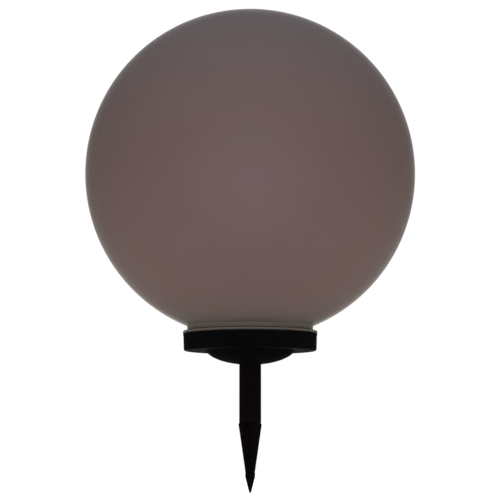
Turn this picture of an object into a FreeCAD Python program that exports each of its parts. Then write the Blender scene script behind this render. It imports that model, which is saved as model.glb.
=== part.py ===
"""Solar garden globe light: a smoked globe twist-locked on a black base, carried by a push-in ground stake.

Sizes are in millimetres and angles in degrees. z points up, and z = 0 is the ground line, where the tube of the
stake meets the shoulders of the spike. The pieces are listed from the ground up.
"""

import FreeCAD
import Part
import math
import os

V = FreeCAD.Vector
UP = V(0, 0, 1)

# --- Ground spike: four fins, a solid point below and a plug that fills the tube above
spike_length = 83.4
fin_count = 4
fin_thickness = 2.8
fin_shoulder_radius = 16.25
fin_shoulder_chamfer = 1.8
fin_foot_radius = 6.1
fin_turn = 35.0
spike_core_radius = 3.4
point_corner_radius = 7.06
point_straight = 5.0
point_length = 23.8
point_end_corner_radius = 1.6
point_end_rise = 1.0
point_nose_radius = 1.4
plug_length = 24.0
plug_clearance = 0.15
plug_chamfer = 1.2

# --- Stake tube
tube_radius = 13.2
tube_wall = 2.0
tube_showing = 70.0
tube_seat_depth = 24.0
tube_edge_break = 0.4

# --- Dome under the base, and the socket frame inside it that takes the tube
dome_half_width = 55.3
dome_half_height = 21.8
dome_depth = 16.8
dome_wall = 2.4
socket_clearance = 0.15
socket_wall = 2.4
socket_end_gap = 0.2
socket_roof = 2.8
gusset_count = 4
gusset_thickness = 2.2
gusset_drop = 8.0
socket_frame_gap = 0.1
flange_thickness = 2.4
flange_margin = 1.2

# --- Base cup: the black ring with its flat underside
cup_height = 20.2
underside_width = 26.2
cup_draft = 0.55
cup_bead_proud = 0.5
cup_bead_height = 2.0
cup_edge_radius = 1.9
cup_wall = 2.5
cup_floor = 2.4
cup_opening_clearance = 0.25
edge_break = 0.4

# --- Seals
seal_thickness = 1.0
seal_inset = 0.5
seal_gap = 0.1

# --- Globe
globe_diameter = 400.0
globe_wall = 2.4
neck_step = 2.3
neck_wall = 2.4
neck_fillet = 2.5
neck_height = 4.8
lip_proud = 0.15
lip_thickness = 3.7
lip_slope = 14.0
lip_corner_radius = 1.7
spigot_gap = 0.8
spigot_wall = 2.4
spigot_length = 13.4

# --- Twist lock between the globe's lugs and the cup's hooks
lug_count = 3
lug_angle = 26.0
lug_height = 2.4
lug_drop = 6.4
lug_tip_gap = 0.9
hook_angle = 36.0
hook_reach = 3.1
hook_thickness = 2.6
hook_lug_gap = 0.3
stop_angle = 3.0
stop_gap_angle = 0.4
twist_range = 36.0

# --- Lamp deck: the inner cap that carries the solar panel and the lamps
deck_neck_gap = 0.8
deck_rise = 17.0
deck_wall = 2.4
deck_top_thickness = 2.6
deck_edge_radius = 6.0
deck_floor_gap = 0.2
tray_depth = 2.2
tray_clearance = 0.5
deck_screw_count = 4
deck_screw_turn = 45.0
deck_screw_inset = 9.6
pillar_radius = 3.8
boss_height = 5.0
boss_clearance = 0.4

# --- Solar panel, from the bottom up: foam tape, backing board, cells, clear resin
panel_radius = 49.5
tape_thickness = 0.6
tape_width = 7.0
tape_inset = 1.75
backing_thickness = 1.2
cell_thickness = 0.4
cell_gap = 1.4
cell_count = 4
cell_margin = 7.0
cell_end_margin = 0.8
resin_thickness = 1.4
panel_lead_place = 22.0
panel_lead_hole_radius = 3.4

# --- Lamps and their ring board
led_count = 6
led_radius = 2.5
led_length = 8.6
led_flange_radius = 2.9
led_flange_thickness = 1.0
led_hole_clearance = 0.15
led_tray_gap = 5.7
ring_board_thickness = 1.6
ring_board_half_width = 4.6
ring_board_drop = 2.6
ring_post_radius = 2.3
ring_post_count = 3
ring_post_turn = 30.0

# --- Screws
screw_radius = 1.25
screw_pilot_clearance = 0.05
screw_shank_clearance = 0.25
screw_head_radius = 3.0
screw_head_height = 2.0
screw_head_clearance = 0.3
screw_bite = 7.5
socket_drive_radius = 1.2
socket_drive_depth = 1.1
drive_depth_share = 0.6
drive_radius_share = 0.5
small_screw_radius = 0.9
small_screw_head_radius = 1.9
small_screw_head_height = 1.3
small_screw_bite = 3.6
flange_screw_count = 4
flange_screw_inset = 6.5
flange_boss_radius = 3.2
flange_boss_clearance = 0.3
flange_screw_head_radius = 4.6

# --- Battery and holder
battery_radius = 7.1
battery_length = 49.2
battery_nub_radius = 2.8
battery_nub_height = 1.3
battery_clearance = 0.2
holder_wall = 1.6
holder_floor = 3.0
holder_screw_sink = 1.5
holder_side_height = 9.5
cradle_length = 26.0
cradle_height = 3.0
holder_boss_radius = 3.4
holder_screw_place = 19.5
contact_thickness = 0.5
contact_width = 8.0
contact_height = 11.0
battery_lead_lane = 13.0
battery_lead_rise = 3.0

# --- Controller board
board_length = 40.0
board_width = 27.0
board_thickness = 1.6
board_inset = 3.4
board_rise = 1.0
board_boss_radius = 2.8
board_screw_place = 16.5
chip_size = (6.0, 5.0, 1.6)
coil_radius = 3.4
coil_height = 4.2
coil_place = 5.5
capacitor_radius = 2.5
capacitor_height = 7.0
capacitor_place = 14.5
connector_size = (6.0, 7.5, 5.6)
connector_gap = 0.4
lamp_connector_place = 5.3

# --- Push switch in a well in the dome
switch_angle = 135.0
switch_place = 36.0
well_radius = 8.0
well_depth = 7.2
switch_box_side = 9.0
switch_box_height = 7.5
bushing_radius = 3.5
bushing_clearance = 0.1
bushing_bore_radius = 2.3
bushing_proud = 0.6
nut_flat_radius = 5.0
nut_thickness = 2.0
button_stem_clearance = 0.1
button_radius = 3.3
button_height = 2.2
button_edge_radius = 0.7
button_travel = 1.8
button_end_gap = 0.3
terminal_width = 1.4
terminal_thickness = 0.5
terminal_height = 3.2

# --- Wires inside the base
wire_radius = 0.65
wire_bend_radius = 2.6
wire_bend_share = 0.45
wire_pair_gap = 2.2
wire_pair_step = 1.6
panel_wire_slant = 3.0
lamp_wire_slant = 2.0
switch_wire_rise = 3.3
switch_wire_climb = 4.0
switch_wire_gap = 6.6


# --- Levels and radii worked out from the sizes above
dome_bottom = tube_showing
underside = dome_bottom + dome_depth
dome_centre = dome_bottom + dome_half_height
dome_mouth = dome_half_width * math.sqrt(1 - ((dome_centre - underside) / dome_half_height) ** 2)
cup_foot_radius = dome_mouth + underside_width
cup_floor_top = underside + cup_floor
rim = underside + cup_height
cup_inner = cup_foot_radius - cup_wall
cup_top_radius = cup_foot_radius + cup_draft
cup_bead_radius = cup_top_radius + cup_bead_proud
tube_top = tube_showing + tube_seat_depth
socket_inner = tube_radius + socket_clearance
socket_outer = socket_inner + socket_wall
socket_roof_bottom = tube_top + socket_end_gap
socket_top = socket_roof_bottom + socket_roof
flange_bottom = cup_floor_top + seal_thickness
flange_top = flange_bottom + flange_thickness
globe_radius = globe_diameter / 2
lip_bottom = rim + seal_thickness + seal_gap
lip_top = lip_bottom + lip_thickness
lip_radius = cup_bead_radius + lip_proud
lug_tip = cup_inner - lug_tip_gap
hook_tip = cup_inner - hook_reach
spigot_radius = hook_tip - spigot_gap
spigot_inner = spigot_radius - spigot_wall
neck_inner = spigot_inner + neck_step
neck_radius = neck_inner + neck_wall
neck_meets_globe = lip_top + neck_height
globe_centre = neck_meets_globe + math.sqrt(globe_radius**2 - neck_radius**2)
lug_top = lip_bottom - lug_drop
lug_bottom = lug_top - lug_height
hook_bottom = lug_top + hook_lug_gap
deck_radius = spigot_inner - deck_neck_gap
deck_inner = deck_radius - deck_wall
deck_top = rim + deck_rise
deck_underside = deck_top - deck_top_thickness
deck_foot = cup_floor_top + deck_floor_gap
deck_screw_circle = deck_radius - deck_screw_inset
tray_radius = panel_radius + tray_clearance
led_circle = tray_radius + led_tray_gap
tray_floor = deck_top - tray_depth
tray_underside = tray_floor - deck_top_thickness
boss_top = cup_floor_top + boss_height
flange_radius = deck_inner - flange_margin
flange_screw_circle = dome_mouth + flange_screw_inset
ring_board_top = deck_underside - ring_board_drop
ring_board_bottom = ring_board_top - ring_board_thickness
battery_axis = socket_top + holder_floor + battery_clearance + battery_radius
board_bottom = socket_top + board_rise
board_top = board_bottom + board_thickness
board_centre = dome_mouth - dome_wall - board_inset - board_width / 2
holder_outer_width = 2 * (battery_radius + battery_clearance + holder_wall)
holder_inner_half = battery_length / 2 + battery_nub_height / 2 + contact_thickness + battery_clearance
holder_half_length = holder_inner_half + holder_wall
holder_screw_seat = socket_top + holder_floor - holder_screw_sink
pilot_radius = screw_radius + screw_pilot_clearance
small_pilot_radius = small_screw_radius + screw_pilot_clearance
panel_bottom = tray_floor + tape_thickness
cells_bottom = panel_bottom + backing_thickness
resin_top = cells_bottom + cell_thickness + resin_thickness


# --- Small builders shared by the pieces
def line(start, end):
    """A straight edge between two (radius, height) points in the plane through the axis."""
    return Part.LineSegment(V(start[0], 0, start[1]), V(end[0], 0, end[1])).toShape()


def arc(centre, radius, from_angle, to_angle):
    """An arc in the plane through the axis; angles run from the radius direction towards up."""
    angles = (from_angle, (from_angle + to_angle) / 2, to_angle)
    points = [on_circle(centre, radius, angle) for angle in angles]
    return Part.Arc(*(V(r, 0, z) for r, z in points)).toShape()


def on_circle(centre, radius, angle):
    """The (radius, height) point at an angle on a circle in the plane through the axis."""
    turn = math.radians(angle)
    return (centre[0] + radius * math.cos(turn), centre[1] + radius * math.sin(turn))


def turned(edges, angle=360.0, start_angle=0.0):
    """The solid that a closed outline sweeps about the z axis."""
    face = Part.Face(Part.Wire(Part.__sortEdges__(edges)))
    solid = face.revolve(V(0, 0, 0), UP, angle)
    if solid.Volume < 0:
        solid.reverse()
    solid.rotate(V(0, 0, 0), UP, start_angle)
    return solid


def outline(points):
    """The closed run of straight edges through (radius, height) points."""
    return [line(points[i], points[(i + 1) % len(points)]) for i in range(len(points))]


def ring(inner, outer, bottom, top, angle=360.0, start_angle=0.0):
    """A flat-topped ring, or a part of one."""
    points = [(inner, bottom), (outer, bottom), (outer, top), (inner, top)]
    return turned(outline(points), angle, start_angle)


def post(x, y, radius, bottom, top):
    """An upright cylinder."""
    return Part.makeCylinder(radius, top - bottom, V(x, y, bottom), UP)


def block(centre_x, centre_y, length_x, length_y, bottom, top):
    """An upright box, centred in plan."""
    corner = V(centre_x - length_x / 2, centre_y - length_y / 2, bottom)
    return Part.makeBox(length_x, length_y, top - bottom, corner)


def around(circle, angle):
    """The plan point at an angle on a circle about the axis."""
    return (circle * math.cos(math.radians(angle)), circle * math.sin(math.radians(angle)))


def spread(count, first_angle=0.0):
    """Evenly spaced angles about the axis."""
    return [first_angle + 360.0 * i / count for i in range(count)]


def joined(shapes):
    """One solid made of overlapping shapes."""
    return shapes[0].multiFuse(shapes[1:]).removeSplitter()


def tube_along(points):
    """A round wire through the points, with a tangent arc at each corner."""
    points = [V(*point) for point in points]
    edges = []
    start = points[0]
    for before, corner, after in zip(points, points[1:], points[2:]):
        inward = (before - corner).normalize()
        outward = (after - corner).normalize()
        half_turn = (math.pi - inward.getAngle(outward)) / 2
        shorter = min((before - corner).Length, (after - corner).Length)
        setback = min(wire_bend_radius * math.tan(half_turn), wire_bend_share * shorter)
        bend = setback / math.tan(half_turn)
        first = corner + inward * setback
        last = corner + outward * setback
        bisector = (inward + outward).normalize()
        middle = corner + bisector * (bend / math.cos(half_turn) - bend)
        edges += [Part.LineSegment(start, first).toShape(), Part.Arc(first, middle, last).toShape()]
        start = last
    edges.append(Part.LineSegment(start, points[-1]).toShape())
    path = Part.Wire(edges)
    section = Part.Wire(Part.makeCircle(wire_radius, points[0], points[1] - points[0]))
    return path.makePipeShell([section], True, False)


# --- Ground spike
def spike_fin():
    """One fin and its part of the plug, as a flat plate from the axis outwards."""
    plug_radius = tube_radius - tube_wall - plug_clearance
    foot = point_length - spike_length
    corners = [
        (0, foot),
        (fin_foot_radius, foot),
        (fin_shoulder_radius, -fin_shoulder_chamfer),
        (fin_shoulder_radius - fin_shoulder_chamfer / 2, 0),
        (plug_radius, 0),
        (plug_radius, plug_length - plug_chamfer),
        (plug_radius - plug_chamfer, plug_length),
        (0, plug_length),
    ]
    plate = Part.Face(Part.Wire(outline(corners))).extrude(V(0, fin_thickness, 0))
    plate.translate(V(0, -fin_thickness / 2, 0))
    plug_space = post(0, 0, plug_radius, 0, plug_length)
    fin_space = post(0, 0, fin_shoulder_radius, foot, 0)
    return plate.common(plug_space.fuse(fin_space))


def square(corner_radius, height):
    """A level square with its corners over the fins."""
    corners = [V(*around(corner_radius, angle), height) for angle in spread(fin_count)]
    return Part.makePolygon(corners + corners[:1])


def spike_point():
    """The solid point that the fins run into: a square bar, then a pyramid with a rounded nose."""
    top = point_length - spike_length
    shoulder = top - point_straight
    bar = Part.Face(square(point_corner_radius, shoulder)).extrude(V(0, 0, point_straight))
    tip_end = square(point_end_corner_radius, point_end_rise - spike_length)
    pyramid = Part.makeLoft([square(point_corner_radius, shoulder), tip_end], True, True)
    nose = Part.makeSphere(point_nose_radius, V(0, 0, point_nose_radius - spike_length))
    return joined([bar, pyramid, nose])


def ground_spike():
    fins = []
    for angle in spread(fin_count):
        fin = spike_fin()
        fin.rotate(V(0, 0, 0), UP, angle)
        fins.append(fin)
    core = post(0, 0, spike_core_radius, point_length - spike_length, plug_length)
    spike = joined(fins + [core, spike_point()])
    spike.rotate(V(0, 0, 0), UP, fin_turn)
    return spike


# --- Stake tube
def stake_tube():
    inner = tube_radius - tube_wall
    points = [
        (inner, 0),
        (tube_radius - tube_edge_break, 0),
        (tube_radius, tube_edge_break),
        (tube_radius, tube_top - tube_edge_break),
        (tube_radius - tube_edge_break, tube_top),
        (inner, tube_top),
    ]
    return turned(outline(points))


# --- Dome
def dome_level(radius, inset=0.0):
    """The height of the dome's outer face at a radius; an inset moves the face in through the wall."""
    share = radius / (dome_half_width - inset)
    return dome_centre - (dome_half_height - inset) * math.sqrt(1 - share**2)


def dome_arc(from_radius, inset=0.0):
    """The dome's outline from a radius down to the axis."""
    half_width = dome_half_width - inset
    lowest = V(0, 0, dome_centre - dome_half_height + inset)
    ellipse = Part.Ellipse(V(half_width, 0, dome_centre), lowest, V(0, 0, dome_centre))
    return ellipse.toShape(math.acos(from_radius / half_width), math.pi / 2)


def dome_shell():
    """The bulging wall, its upright collar through the cup's floor and the flange that hangs it there."""
    inner_mouth = dome_mouth - dome_wall
    edges = [
        line((0, dome_bottom + dome_wall), (0, dome_bottom)),
        dome_arc(dome_mouth),
        line((dome_mouth, underside), (dome_mouth, flange_bottom)),
        line((dome_mouth, flange_bottom), (flange_radius, flange_bottom)),
        line((flange_radius, flange_bottom), (flange_radius, flange_top)),
        line((flange_radius, flange_top), (inner_mouth, flange_top)),
        line((inner_mouth, flange_top), (inner_mouth, dome_level(inner_mouth, dome_wall))),
        dome_arc(inner_mouth, dome_wall),
    ]
    return turned(edges)


def inside_dome(shape, depth=dome_wall / 2):
    """What of a shape lies above the dome's outer face moved in by a depth, for ribs and posts that stand on it."""
    side = dome_mouth - depth
    above = socket_top + dome_wall
    edges = [
        dome_arc(side, depth),
        line((0, dome_level(0, depth)), (0, above)),
        line((0, above), (side, above)),
        line((side, above), (side, dome_level(side, depth))),
    ]
    return shape.common(turned(edges))


def gussets():
    """Upright ribs from the socket to the dome's wall. The two under the battery holder carry its screws."""
    ribs = []
    length = dome_mouth
    for angle in spread(gusset_count):
        top_end = socket_top - gusset_drop
        corners = [(socket_outer - socket_wall / 2, dome_bottom), (length, dome_bottom), (length, top_end)]
        corners += [(holder_half_length - holder_boss_radius, top_end), (socket_outer + gusset_drop, socket_top)]
        corners += [(socket_outer - socket_wall / 2, socket_top)]
        rib = Part.Face(Part.Wire(outline(corners))).extrude(V(0, gusset_thickness, 0))
        rib.translate(V(0, -gusset_thickness / 2, 0))
        rib.rotate(V(0, 0, 0), UP, angle)
        ribs.append(rib)
    return joined(ribs)


def switch_centre():
    return around(switch_place, switch_angle)


def well_top():
    """The level of the well's flat end, measured up from the dome's outer face at its middle."""
    return dome_level(switch_place) + well_depth


def board_posts():
    """The plan points of the controller board's two screws."""
    return [(board_centre, side * board_screw_place) for side in (-1, 1)]


def holder_posts():
    """The plan points of the battery holder's two screws."""
    return [(0, side * holder_screw_place) for side in (-1, 1)]


def dome():
    x, y = switch_centre()
    well_wall = inside_dome(post(x, y, well_radius + dome_wall, dome_bottom, well_top() + dome_wall))
    posts = [inside_dome(post(px, py, board_boss_radius, dome_bottom, board_bottom)) for px, py in board_posts()]
    body = joined([dome_shell(), well_wall] + posts)
    cuts = [post(0, 0, socket_inner, dome_bottom - dome_wall, socket_roof_bottom)]
    cuts.append(post(x, y, well_radius, dome_bottom - dome_wall, well_top()))
    cuts.append(post(x, y, bushing_radius + bushing_clearance, dome_bottom, well_top() + 2 * dome_wall))
    for px, py in board_posts():
        cuts.append(post(px, py, small_pilot_radius, board_bottom - small_screw_bite - edge_break, board_bottom))
    for angle in spread(flange_screw_count):
        px, py = around(flange_screw_circle, angle)
        cuts.append(post(px, py, flange_boss_radius + flange_boss_clearance, flange_bottom, flange_top))
    for angle in spread(deck_screw_count, deck_screw_turn):
        px, py = around(deck_screw_circle, angle)
        cuts.append(post(px, py, pillar_radius + boss_clearance, flange_bottom, flange_top))
    return body.cut(Part.makeCompound(cuts))


def socket_frame():
    """The closed sleeve that takes the tube, with its gussets and the battery holder's posts, set in the dome."""
    sleeve = post(0, 0, socket_outer, dome_bottom, socket_top)
    posts = [post(px, py, holder_boss_radius, dome_bottom, socket_top) for px, py in holder_posts()]
    frame = inside_dome(joined([sleeve, gussets()] + posts), dome_wall + socket_frame_gap)
    cuts = [post(0, 0, socket_inner, dome_bottom, socket_roof_bottom)]
    for px, py in holder_posts():
        cuts.append(post(px, py, small_pilot_radius, socket_top - small_screw_bite - edge_break, socket_top))
    return frame.cut(Part.makeCompound(cuts))


def dome_seal():
    """The flat rubber ring between the dome's flange and the cup's floor."""
    body = ring(dome_mouth + seal_inset, flange_radius - seal_inset, cup_floor_top, flange_bottom)
    cuts = []
    for angle in spread(flange_screw_count):
        px, py = around(flange_screw_circle, angle)
        cuts.append(post(px, py, flange_boss_radius + flange_boss_clearance, cup_floor_top, flange_bottom))
    for angle in spread(deck_screw_count, deck_screw_turn):
        px, py = around(deck_screw_circle, angle)
        cuts.append(post(px, py, pillar_radius + boss_clearance, cup_floor_top, flange_bottom))
    return body.cut(Part.makeCompound(cuts))


# --- Base cup
def cup_shell():
    bead_start = rim - cup_bead_height
    hole = dome_mouth + cup_opening_clearance
    edges = [
        line((hole, underside), (cup_foot_radius - cup_edge_radius, underside)),
        arc((cup_foot_radius - cup_edge_radius, underside + cup_edge_radius), cup_edge_radius, -90, 0),
        line((cup_foot_radius, underside + cup_edge_radius), (cup_top_radius, bead_start)),
        line((cup_top_radius, bead_start), (cup_bead_radius, bead_start + edge_break)),
        line((cup_bead_radius, bead_start + edge_break), (cup_bead_radius, rim - edge_break)),
        line((cup_bead_radius, rim - edge_break), (cup_bead_radius - edge_break, rim)),
        line((cup_bead_radius - edge_break, rim), (cup_inner, rim)),
        line((cup_inner, rim), (cup_inner, cup_floor_top)),
        line((cup_inner, cup_floor_top), (hole, cup_floor_top)),
        line((hole, cup_floor_top), (hole, underside)),
    ]
    return turned(edges)


def hooks():
    """The ledges that hold the lugs down, each with a stop where the lug locks and one where it lifts out."""
    pieces = []
    root = cup_inner + cup_wall / 2
    stop_bottom = lug_bottom - hook_lug_gap
    locked = -lug_angle / 2 - stop_gap_angle - stop_angle
    opened = twist_range + lug_angle / 2 + stop_gap_angle
    for angle in spread(lug_count):
        ledge = ring(hook_tip, root, hook_bottom, hook_bottom + hook_thickness, hook_angle, angle - hook_angle / 2)
        lock_stop = ring(hook_tip, root, stop_bottom, hook_bottom + edge_break, stop_angle, angle + locked)
        open_stop = ring(hook_tip, root, stop_bottom, hook_bottom, stop_angle, angle + opened)
        pieces += [ledge, lock_stop, open_stop]
    return pieces


def base_cup():
    bosses = []
    cuts = []
    for angle in spread(deck_screw_count, deck_screw_turn):
        x, y = around(deck_screw_circle, angle)
        bosses.append(post(x, y, pillar_radius, underside + cup_floor / 2, boss_top))
        cuts.append(post(x, y, pilot_radius, cup_floor_top - edge_break, boss_top))
    for angle in spread(flange_screw_count):
        x, y = around(flange_screw_circle, angle)
        bosses.append(post(x, y, flange_boss_radius, underside + cup_floor / 2, flange_top - screw_head_clearance))
        cuts.append(post(x, y, pilot_radius, underside + cup_floor / 2, flange_top))
    return joined([cup_shell()] + hooks() + bosses).cut(Part.makeCompound(cuts))


def globe_gasket():
    """The flat rubber ring between the cup's rim and the globe's lip."""
    return ring(cup_inner + seal_inset, cup_bead_radius - seal_inset, rim, rim + seal_thickness)


# --- Globe
def globe():
    inner_radius = globe_radius - globe_wall
    fillet_rise = math.sqrt((globe_radius + neck_fillet) ** 2 - (neck_radius + neck_fillet) ** 2)
    fillet_centre = (neck_radius + neck_fillet, globe_centre - fillet_rise)
    globe_angle = -math.degrees(math.acos(fillet_centre[0] / (globe_radius + neck_fillet)))
    fillet_start = 180 + globe_angle
    globe_touch = on_circle((0, globe_centre), globe_radius, globe_angle)
    inner_angle = -math.degrees(math.acos(neck_inner / inner_radius))
    inner_meet = on_circle((0, globe_centre), inner_radius, inner_angle)
    corner = (lip_radius - lip_corner_radius, 0)
    slope_end_radius = on_circle(corner, lip_corner_radius, 90 - lip_slope)[0]
    slope_end = lip_top - (slope_end_radius - neck_radius) * math.tan(math.radians(lip_slope))
    corner = (corner[0], slope_end - lip_corner_radius * math.sin(math.radians(90 - lip_slope)))
    spigot_bottom = lip_bottom - spigot_length
    edges = [
        arc((0, globe_centre), globe_radius, 90, globe_angle),
        arc(fillet_centre, neck_fillet, fillet_start, 180),
        line((neck_radius, fillet_centre[1]), (neck_radius, lip_top)),
        line((neck_radius, lip_top), (slope_end_radius, slope_end)),
        arc(corner, lip_corner_radius, 90 - lip_slope, 0),
        line((lip_radius, corner[1]), (lip_radius, lip_bottom + edge_break)),
        line((lip_radius, lip_bottom + edge_break), (lip_radius - edge_break, lip_bottom)),
        line((lip_radius - edge_break, lip_bottom), (spigot_radius, lip_bottom)),
        line((spigot_radius, lip_bottom), (spigot_radius, spigot_bottom)),
        line((spigot_radius, spigot_bottom), (spigot_inner, spigot_bottom)),
        line((spigot_inner, spigot_bottom), (spigot_inner, lip_bottom)),
        line((spigot_inner, lip_bottom), (neck_inner, lip_top)),
        line((neck_inner, lip_top), inner_meet),
        arc((0, globe_centre), inner_radius, inner_angle, 90),
        line((0, globe_centre + inner_radius), (0, globe_centre + globe_radius)),
    ]
    shell = turned(edges)
    root = spigot_radius - spigot_wall / 2
    lugs = [ring(root, lug_tip, lug_bottom, lug_top, lug_angle, angle - lug_angle / 2) for angle in spread(lug_count)]
    return joined([shell] + lugs)


# --- Lamp deck
def ring_posts():
    return [around(led_circle, angle) for angle in spread(ring_post_count, ring_post_turn)]


def lamp_deck():
    corner = (deck_radius - deck_edge_radius, deck_top - deck_edge_radius)
    inner_corner_radius = deck_edge_radius - deck_wall
    tray_side = tray_radius + deck_wall
    edges = [
        line((0, tray_underside), (0, tray_floor)),
        line((0, tray_floor), (tray_radius, tray_floor)),
        line((tray_radius, tray_floor), (tray_radius, deck_top)),
        line((tray_radius, deck_top), (corner[0], deck_top)),
        arc(corner, deck_edge_radius, 90, 0),
        line((deck_radius, corner[1]), (deck_radius, deck_foot)),
        line((deck_radius, deck_foot), (deck_inner, deck_foot)),
        line((deck_inner, deck_foot), (deck_inner, deck_underside - inner_corner_radius)),
        arc((deck_inner - inner_corner_radius, deck_underside - inner_corner_radius), inner_corner_radius, 0, 90),
        line((deck_inner - inner_corner_radius, deck_underside), (tray_side, deck_underside)),
        line((tray_side, deck_underside), (tray_side, tray_underside)),
        line((tray_side, tray_underside), (0, tray_underside)),
    ]
    solids = [turned(edges)]
    cuts = [post(panel_lead_place, 0, panel_lead_hole_radius, tray_underside, tray_floor)]
    for angle in spread(deck_screw_count, deck_screw_turn):
        x, y = around(deck_screw_circle, angle)
        solids.append(post(x, y, pillar_radius, boss_top, deck_underside + edge_break))
        cuts.append(post(x, y, screw_radius + screw_shank_clearance, boss_top, deck_top))
        cuts.append(post(x, y, screw_head_radius + screw_head_clearance, deck_head_seat(), deck_top))
    for angle in spread(led_count):
        x, y = around(led_circle, angle)
        cuts.append(post(x, y, led_radius + led_hole_clearance, deck_underside, deck_top))
    for x, y in ring_posts():
        solids.append(post(x, y, ring_post_radius, ring_board_top, deck_underside + edge_break))
        cuts.append(post(x, y, small_pilot_radius, ring_board_top, deck_underside + edge_break))
    return joined(solids).cut(Part.makeCompound(cuts))


def deck_head_seat():
    """The level that the deck's screw heads sit on, with the heads sunk just under the deck's top."""
    return deck_top - screw_head_height - edge_break


# --- Solar panel
def panel_tape():
    outer = panel_radius - tape_inset
    return ring(outer - tape_width, outer, tray_floor, tray_floor + tape_thickness)


def panel_backing():
    return post(0, 0, panel_radius, panel_bottom, cells_bottom)


def panel_cells():
    """Upright strips of silicon side by side, each as long as the round panel allows."""
    usable = panel_radius - cell_margin
    width = (2 * usable - (cell_count - 1) * cell_gap) / cell_count
    cells = []
    for i in range(cell_count):
        centre = -usable + width / 2 + i * (width + cell_gap)
        far_edge = abs(centre) + width / 2
        length = 2 * math.sqrt((panel_radius - cell_end_margin) ** 2 - far_edge**2)
        cells.append(block(centre, 0, width, length, cells_bottom, cells_bottom + cell_thickness))
    return cells


def panel_resin():
    cover = post(0, 0, panel_radius, cells_bottom, resin_top)
    return cover.cut(Part.makeCompound(panel_cells()))


# --- Lamps
def ring_board():
    outer = led_circle + ring_board_half_width
    body = ring(led_circle - ring_board_half_width, outer, ring_board_bottom, ring_board_top)
    cuts = []
    for angle in spread(deck_screw_count, deck_screw_turn):
        x, y = around(deck_screw_circle, angle)
        cuts.append(post(x, y, pillar_radius + boss_clearance, ring_board_bottom, ring_board_top))
    for x, y in ring_posts():
        cuts.append(post(x, y, small_screw_radius + screw_shank_clearance, ring_board_bottom, ring_board_top))
    return body.cut(Part.makeCompound(cuts))


def lamps():
    """Clear round lamps that stand on the ring board and look out through the deck."""
    found = []
    for angle in spread(led_count):
        x, y = around(led_circle, angle)
        flange = post(x, y, led_flange_radius, ring_board_top, ring_board_top + led_flange_thickness)
        top = ring_board_top + led_length - led_radius
        barrel = post(x, y, led_radius, ring_board_top, top)
        nose = Part.makeSphere(led_radius, V(x, y, top), UP, 0, 90, 360)
        found.append(joined([flange, barrel, nose]))
    return found


# --- Screws
def screw(x, y, radius, head_radius, head_height, seat, bite, facing=1):
    """A screw whose head sits on a face; facing is 1 where the head looks up and -1 where it looks down."""
    end = seat - facing * bite
    head_end = seat + facing * head_height
    low, high = sorted((seat, head_end))
    head = post(x, y, head_radius, low, high)
    low, high = sorted((end, seat + facing * head_height / 2))
    shank = post(x, y, radius, low, high)
    drive_depth = min(socket_drive_depth, head_height * drive_depth_share)
    low, high = sorted((head_end - facing * drive_depth, head_end))
    drive = post(x, y, min(socket_drive_radius, head_radius * drive_radius_share), low, high)
    return joined([head, shank]).cut(drive)


def deck_screws():
    found = []
    bite = deck_head_seat() - boss_top + min(screw_bite, boss_height - edge_break)
    for angle in spread(deck_screw_count, deck_screw_turn):
        x, y = around(deck_screw_circle, angle)
        found.append(
            screw(x, y, screw_radius, screw_head_radius, screw_head_height, deck_head_seat(), bite)
        )
    return found


def flange_screws():
    found = []
    bite = flange_top - underside - cup_floor / 2 - edge_break
    for angle in spread(flange_screw_count):
        x, y = around(flange_screw_circle, angle)
        found.append(
            screw(x, y, screw_radius, flange_screw_head_radius, small_screw_head_height, flange_top, bite)
        )
    return found


def small_screws(points, seat, bite, facing=1):
    size = (small_screw_radius, small_screw_head_radius, small_screw_head_height)
    return [screw(x, y, *size, seat, bite, facing) for x, y in points]


def ring_board_screws():
    bite = ring_board_thickness + ring_board_drop - edge_break
    return small_screws(ring_posts(), ring_board_bottom, bite, -1)


def board_screws():
    return small_screws(board_posts(), board_top, board_thickness + small_screw_bite)


def holder_screws():
    return small_screws(holder_posts(), holder_screw_seat, holder_screw_seat - socket_top + small_screw_bite)


# --- Battery
def battery_holder():
    top = socket_top + holder_floor + holder_side_height
    shell = block(0, 0, holder_outer_width, 2 * holder_half_length, socket_top, top)
    inner_width = holder_outer_width - 2 * holder_wall
    bay = block(0, 0, inner_width, 2 * holder_inner_half, socket_top + holder_floor, top)
    body = shell.cut(bay)
    cradle_bottom = socket_top + holder_floor - edge_break
    cradle = block(0, 0, inner_width, cradle_length, cradle_bottom, socket_top + holder_floor + cradle_height)
    trough = Part.makeCylinder(
        battery_radius + battery_clearance, battery_length, V(0, -battery_length / 2, battery_axis), V(0, 1, 0)
    )
    body = joined([body, cradle]).cut(trough)
    cuts = []
    for x, y in holder_posts():
        cuts.append(post(x, y, small_screw_radius + screw_shank_clearance, socket_top, holder_screw_seat))
        cuts.append(post(x, y, small_screw_head_radius + screw_head_clearance, holder_screw_seat, battery_axis))
    return body.cut(Part.makeCompound(cuts))


def battery_cell():
    nub_end = battery_length / 2 + battery_nub_height / 2
    start = -nub_end
    can = Part.makeCylinder(battery_radius, battery_length, V(0, start, battery_axis), V(0, 1, 0))
    nub_start = start + battery_length
    nub = Part.makeCylinder(
        battery_nub_radius, battery_nub_height, V(0, nub_start, battery_axis), V(0, 1, 0)
    )
    return joined([can, nub])


def battery_contacts():
    """A spring plate at each end of the holder, with a tag that stands above the wall for its wire."""
    bottom = socket_top + holder_floor
    found = []
    for side in (-1, 1):
        centre = side * (holder_inner_half - contact_thickness / 2)
        found.append(block(0, centre, contact_width, contact_thickness, bottom, bottom + contact_height))
    return found


# --- Controller board
def controller_board():
    board = block(board_centre, 0, board_width, board_length, board_bottom, board_top)
    holes = [post(x, y, small_screw_radius + screw_shank_clearance, board_bottom, board_top) for x, y in board_posts()]
    return board.cut(Part.makeCompound(holes))


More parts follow.
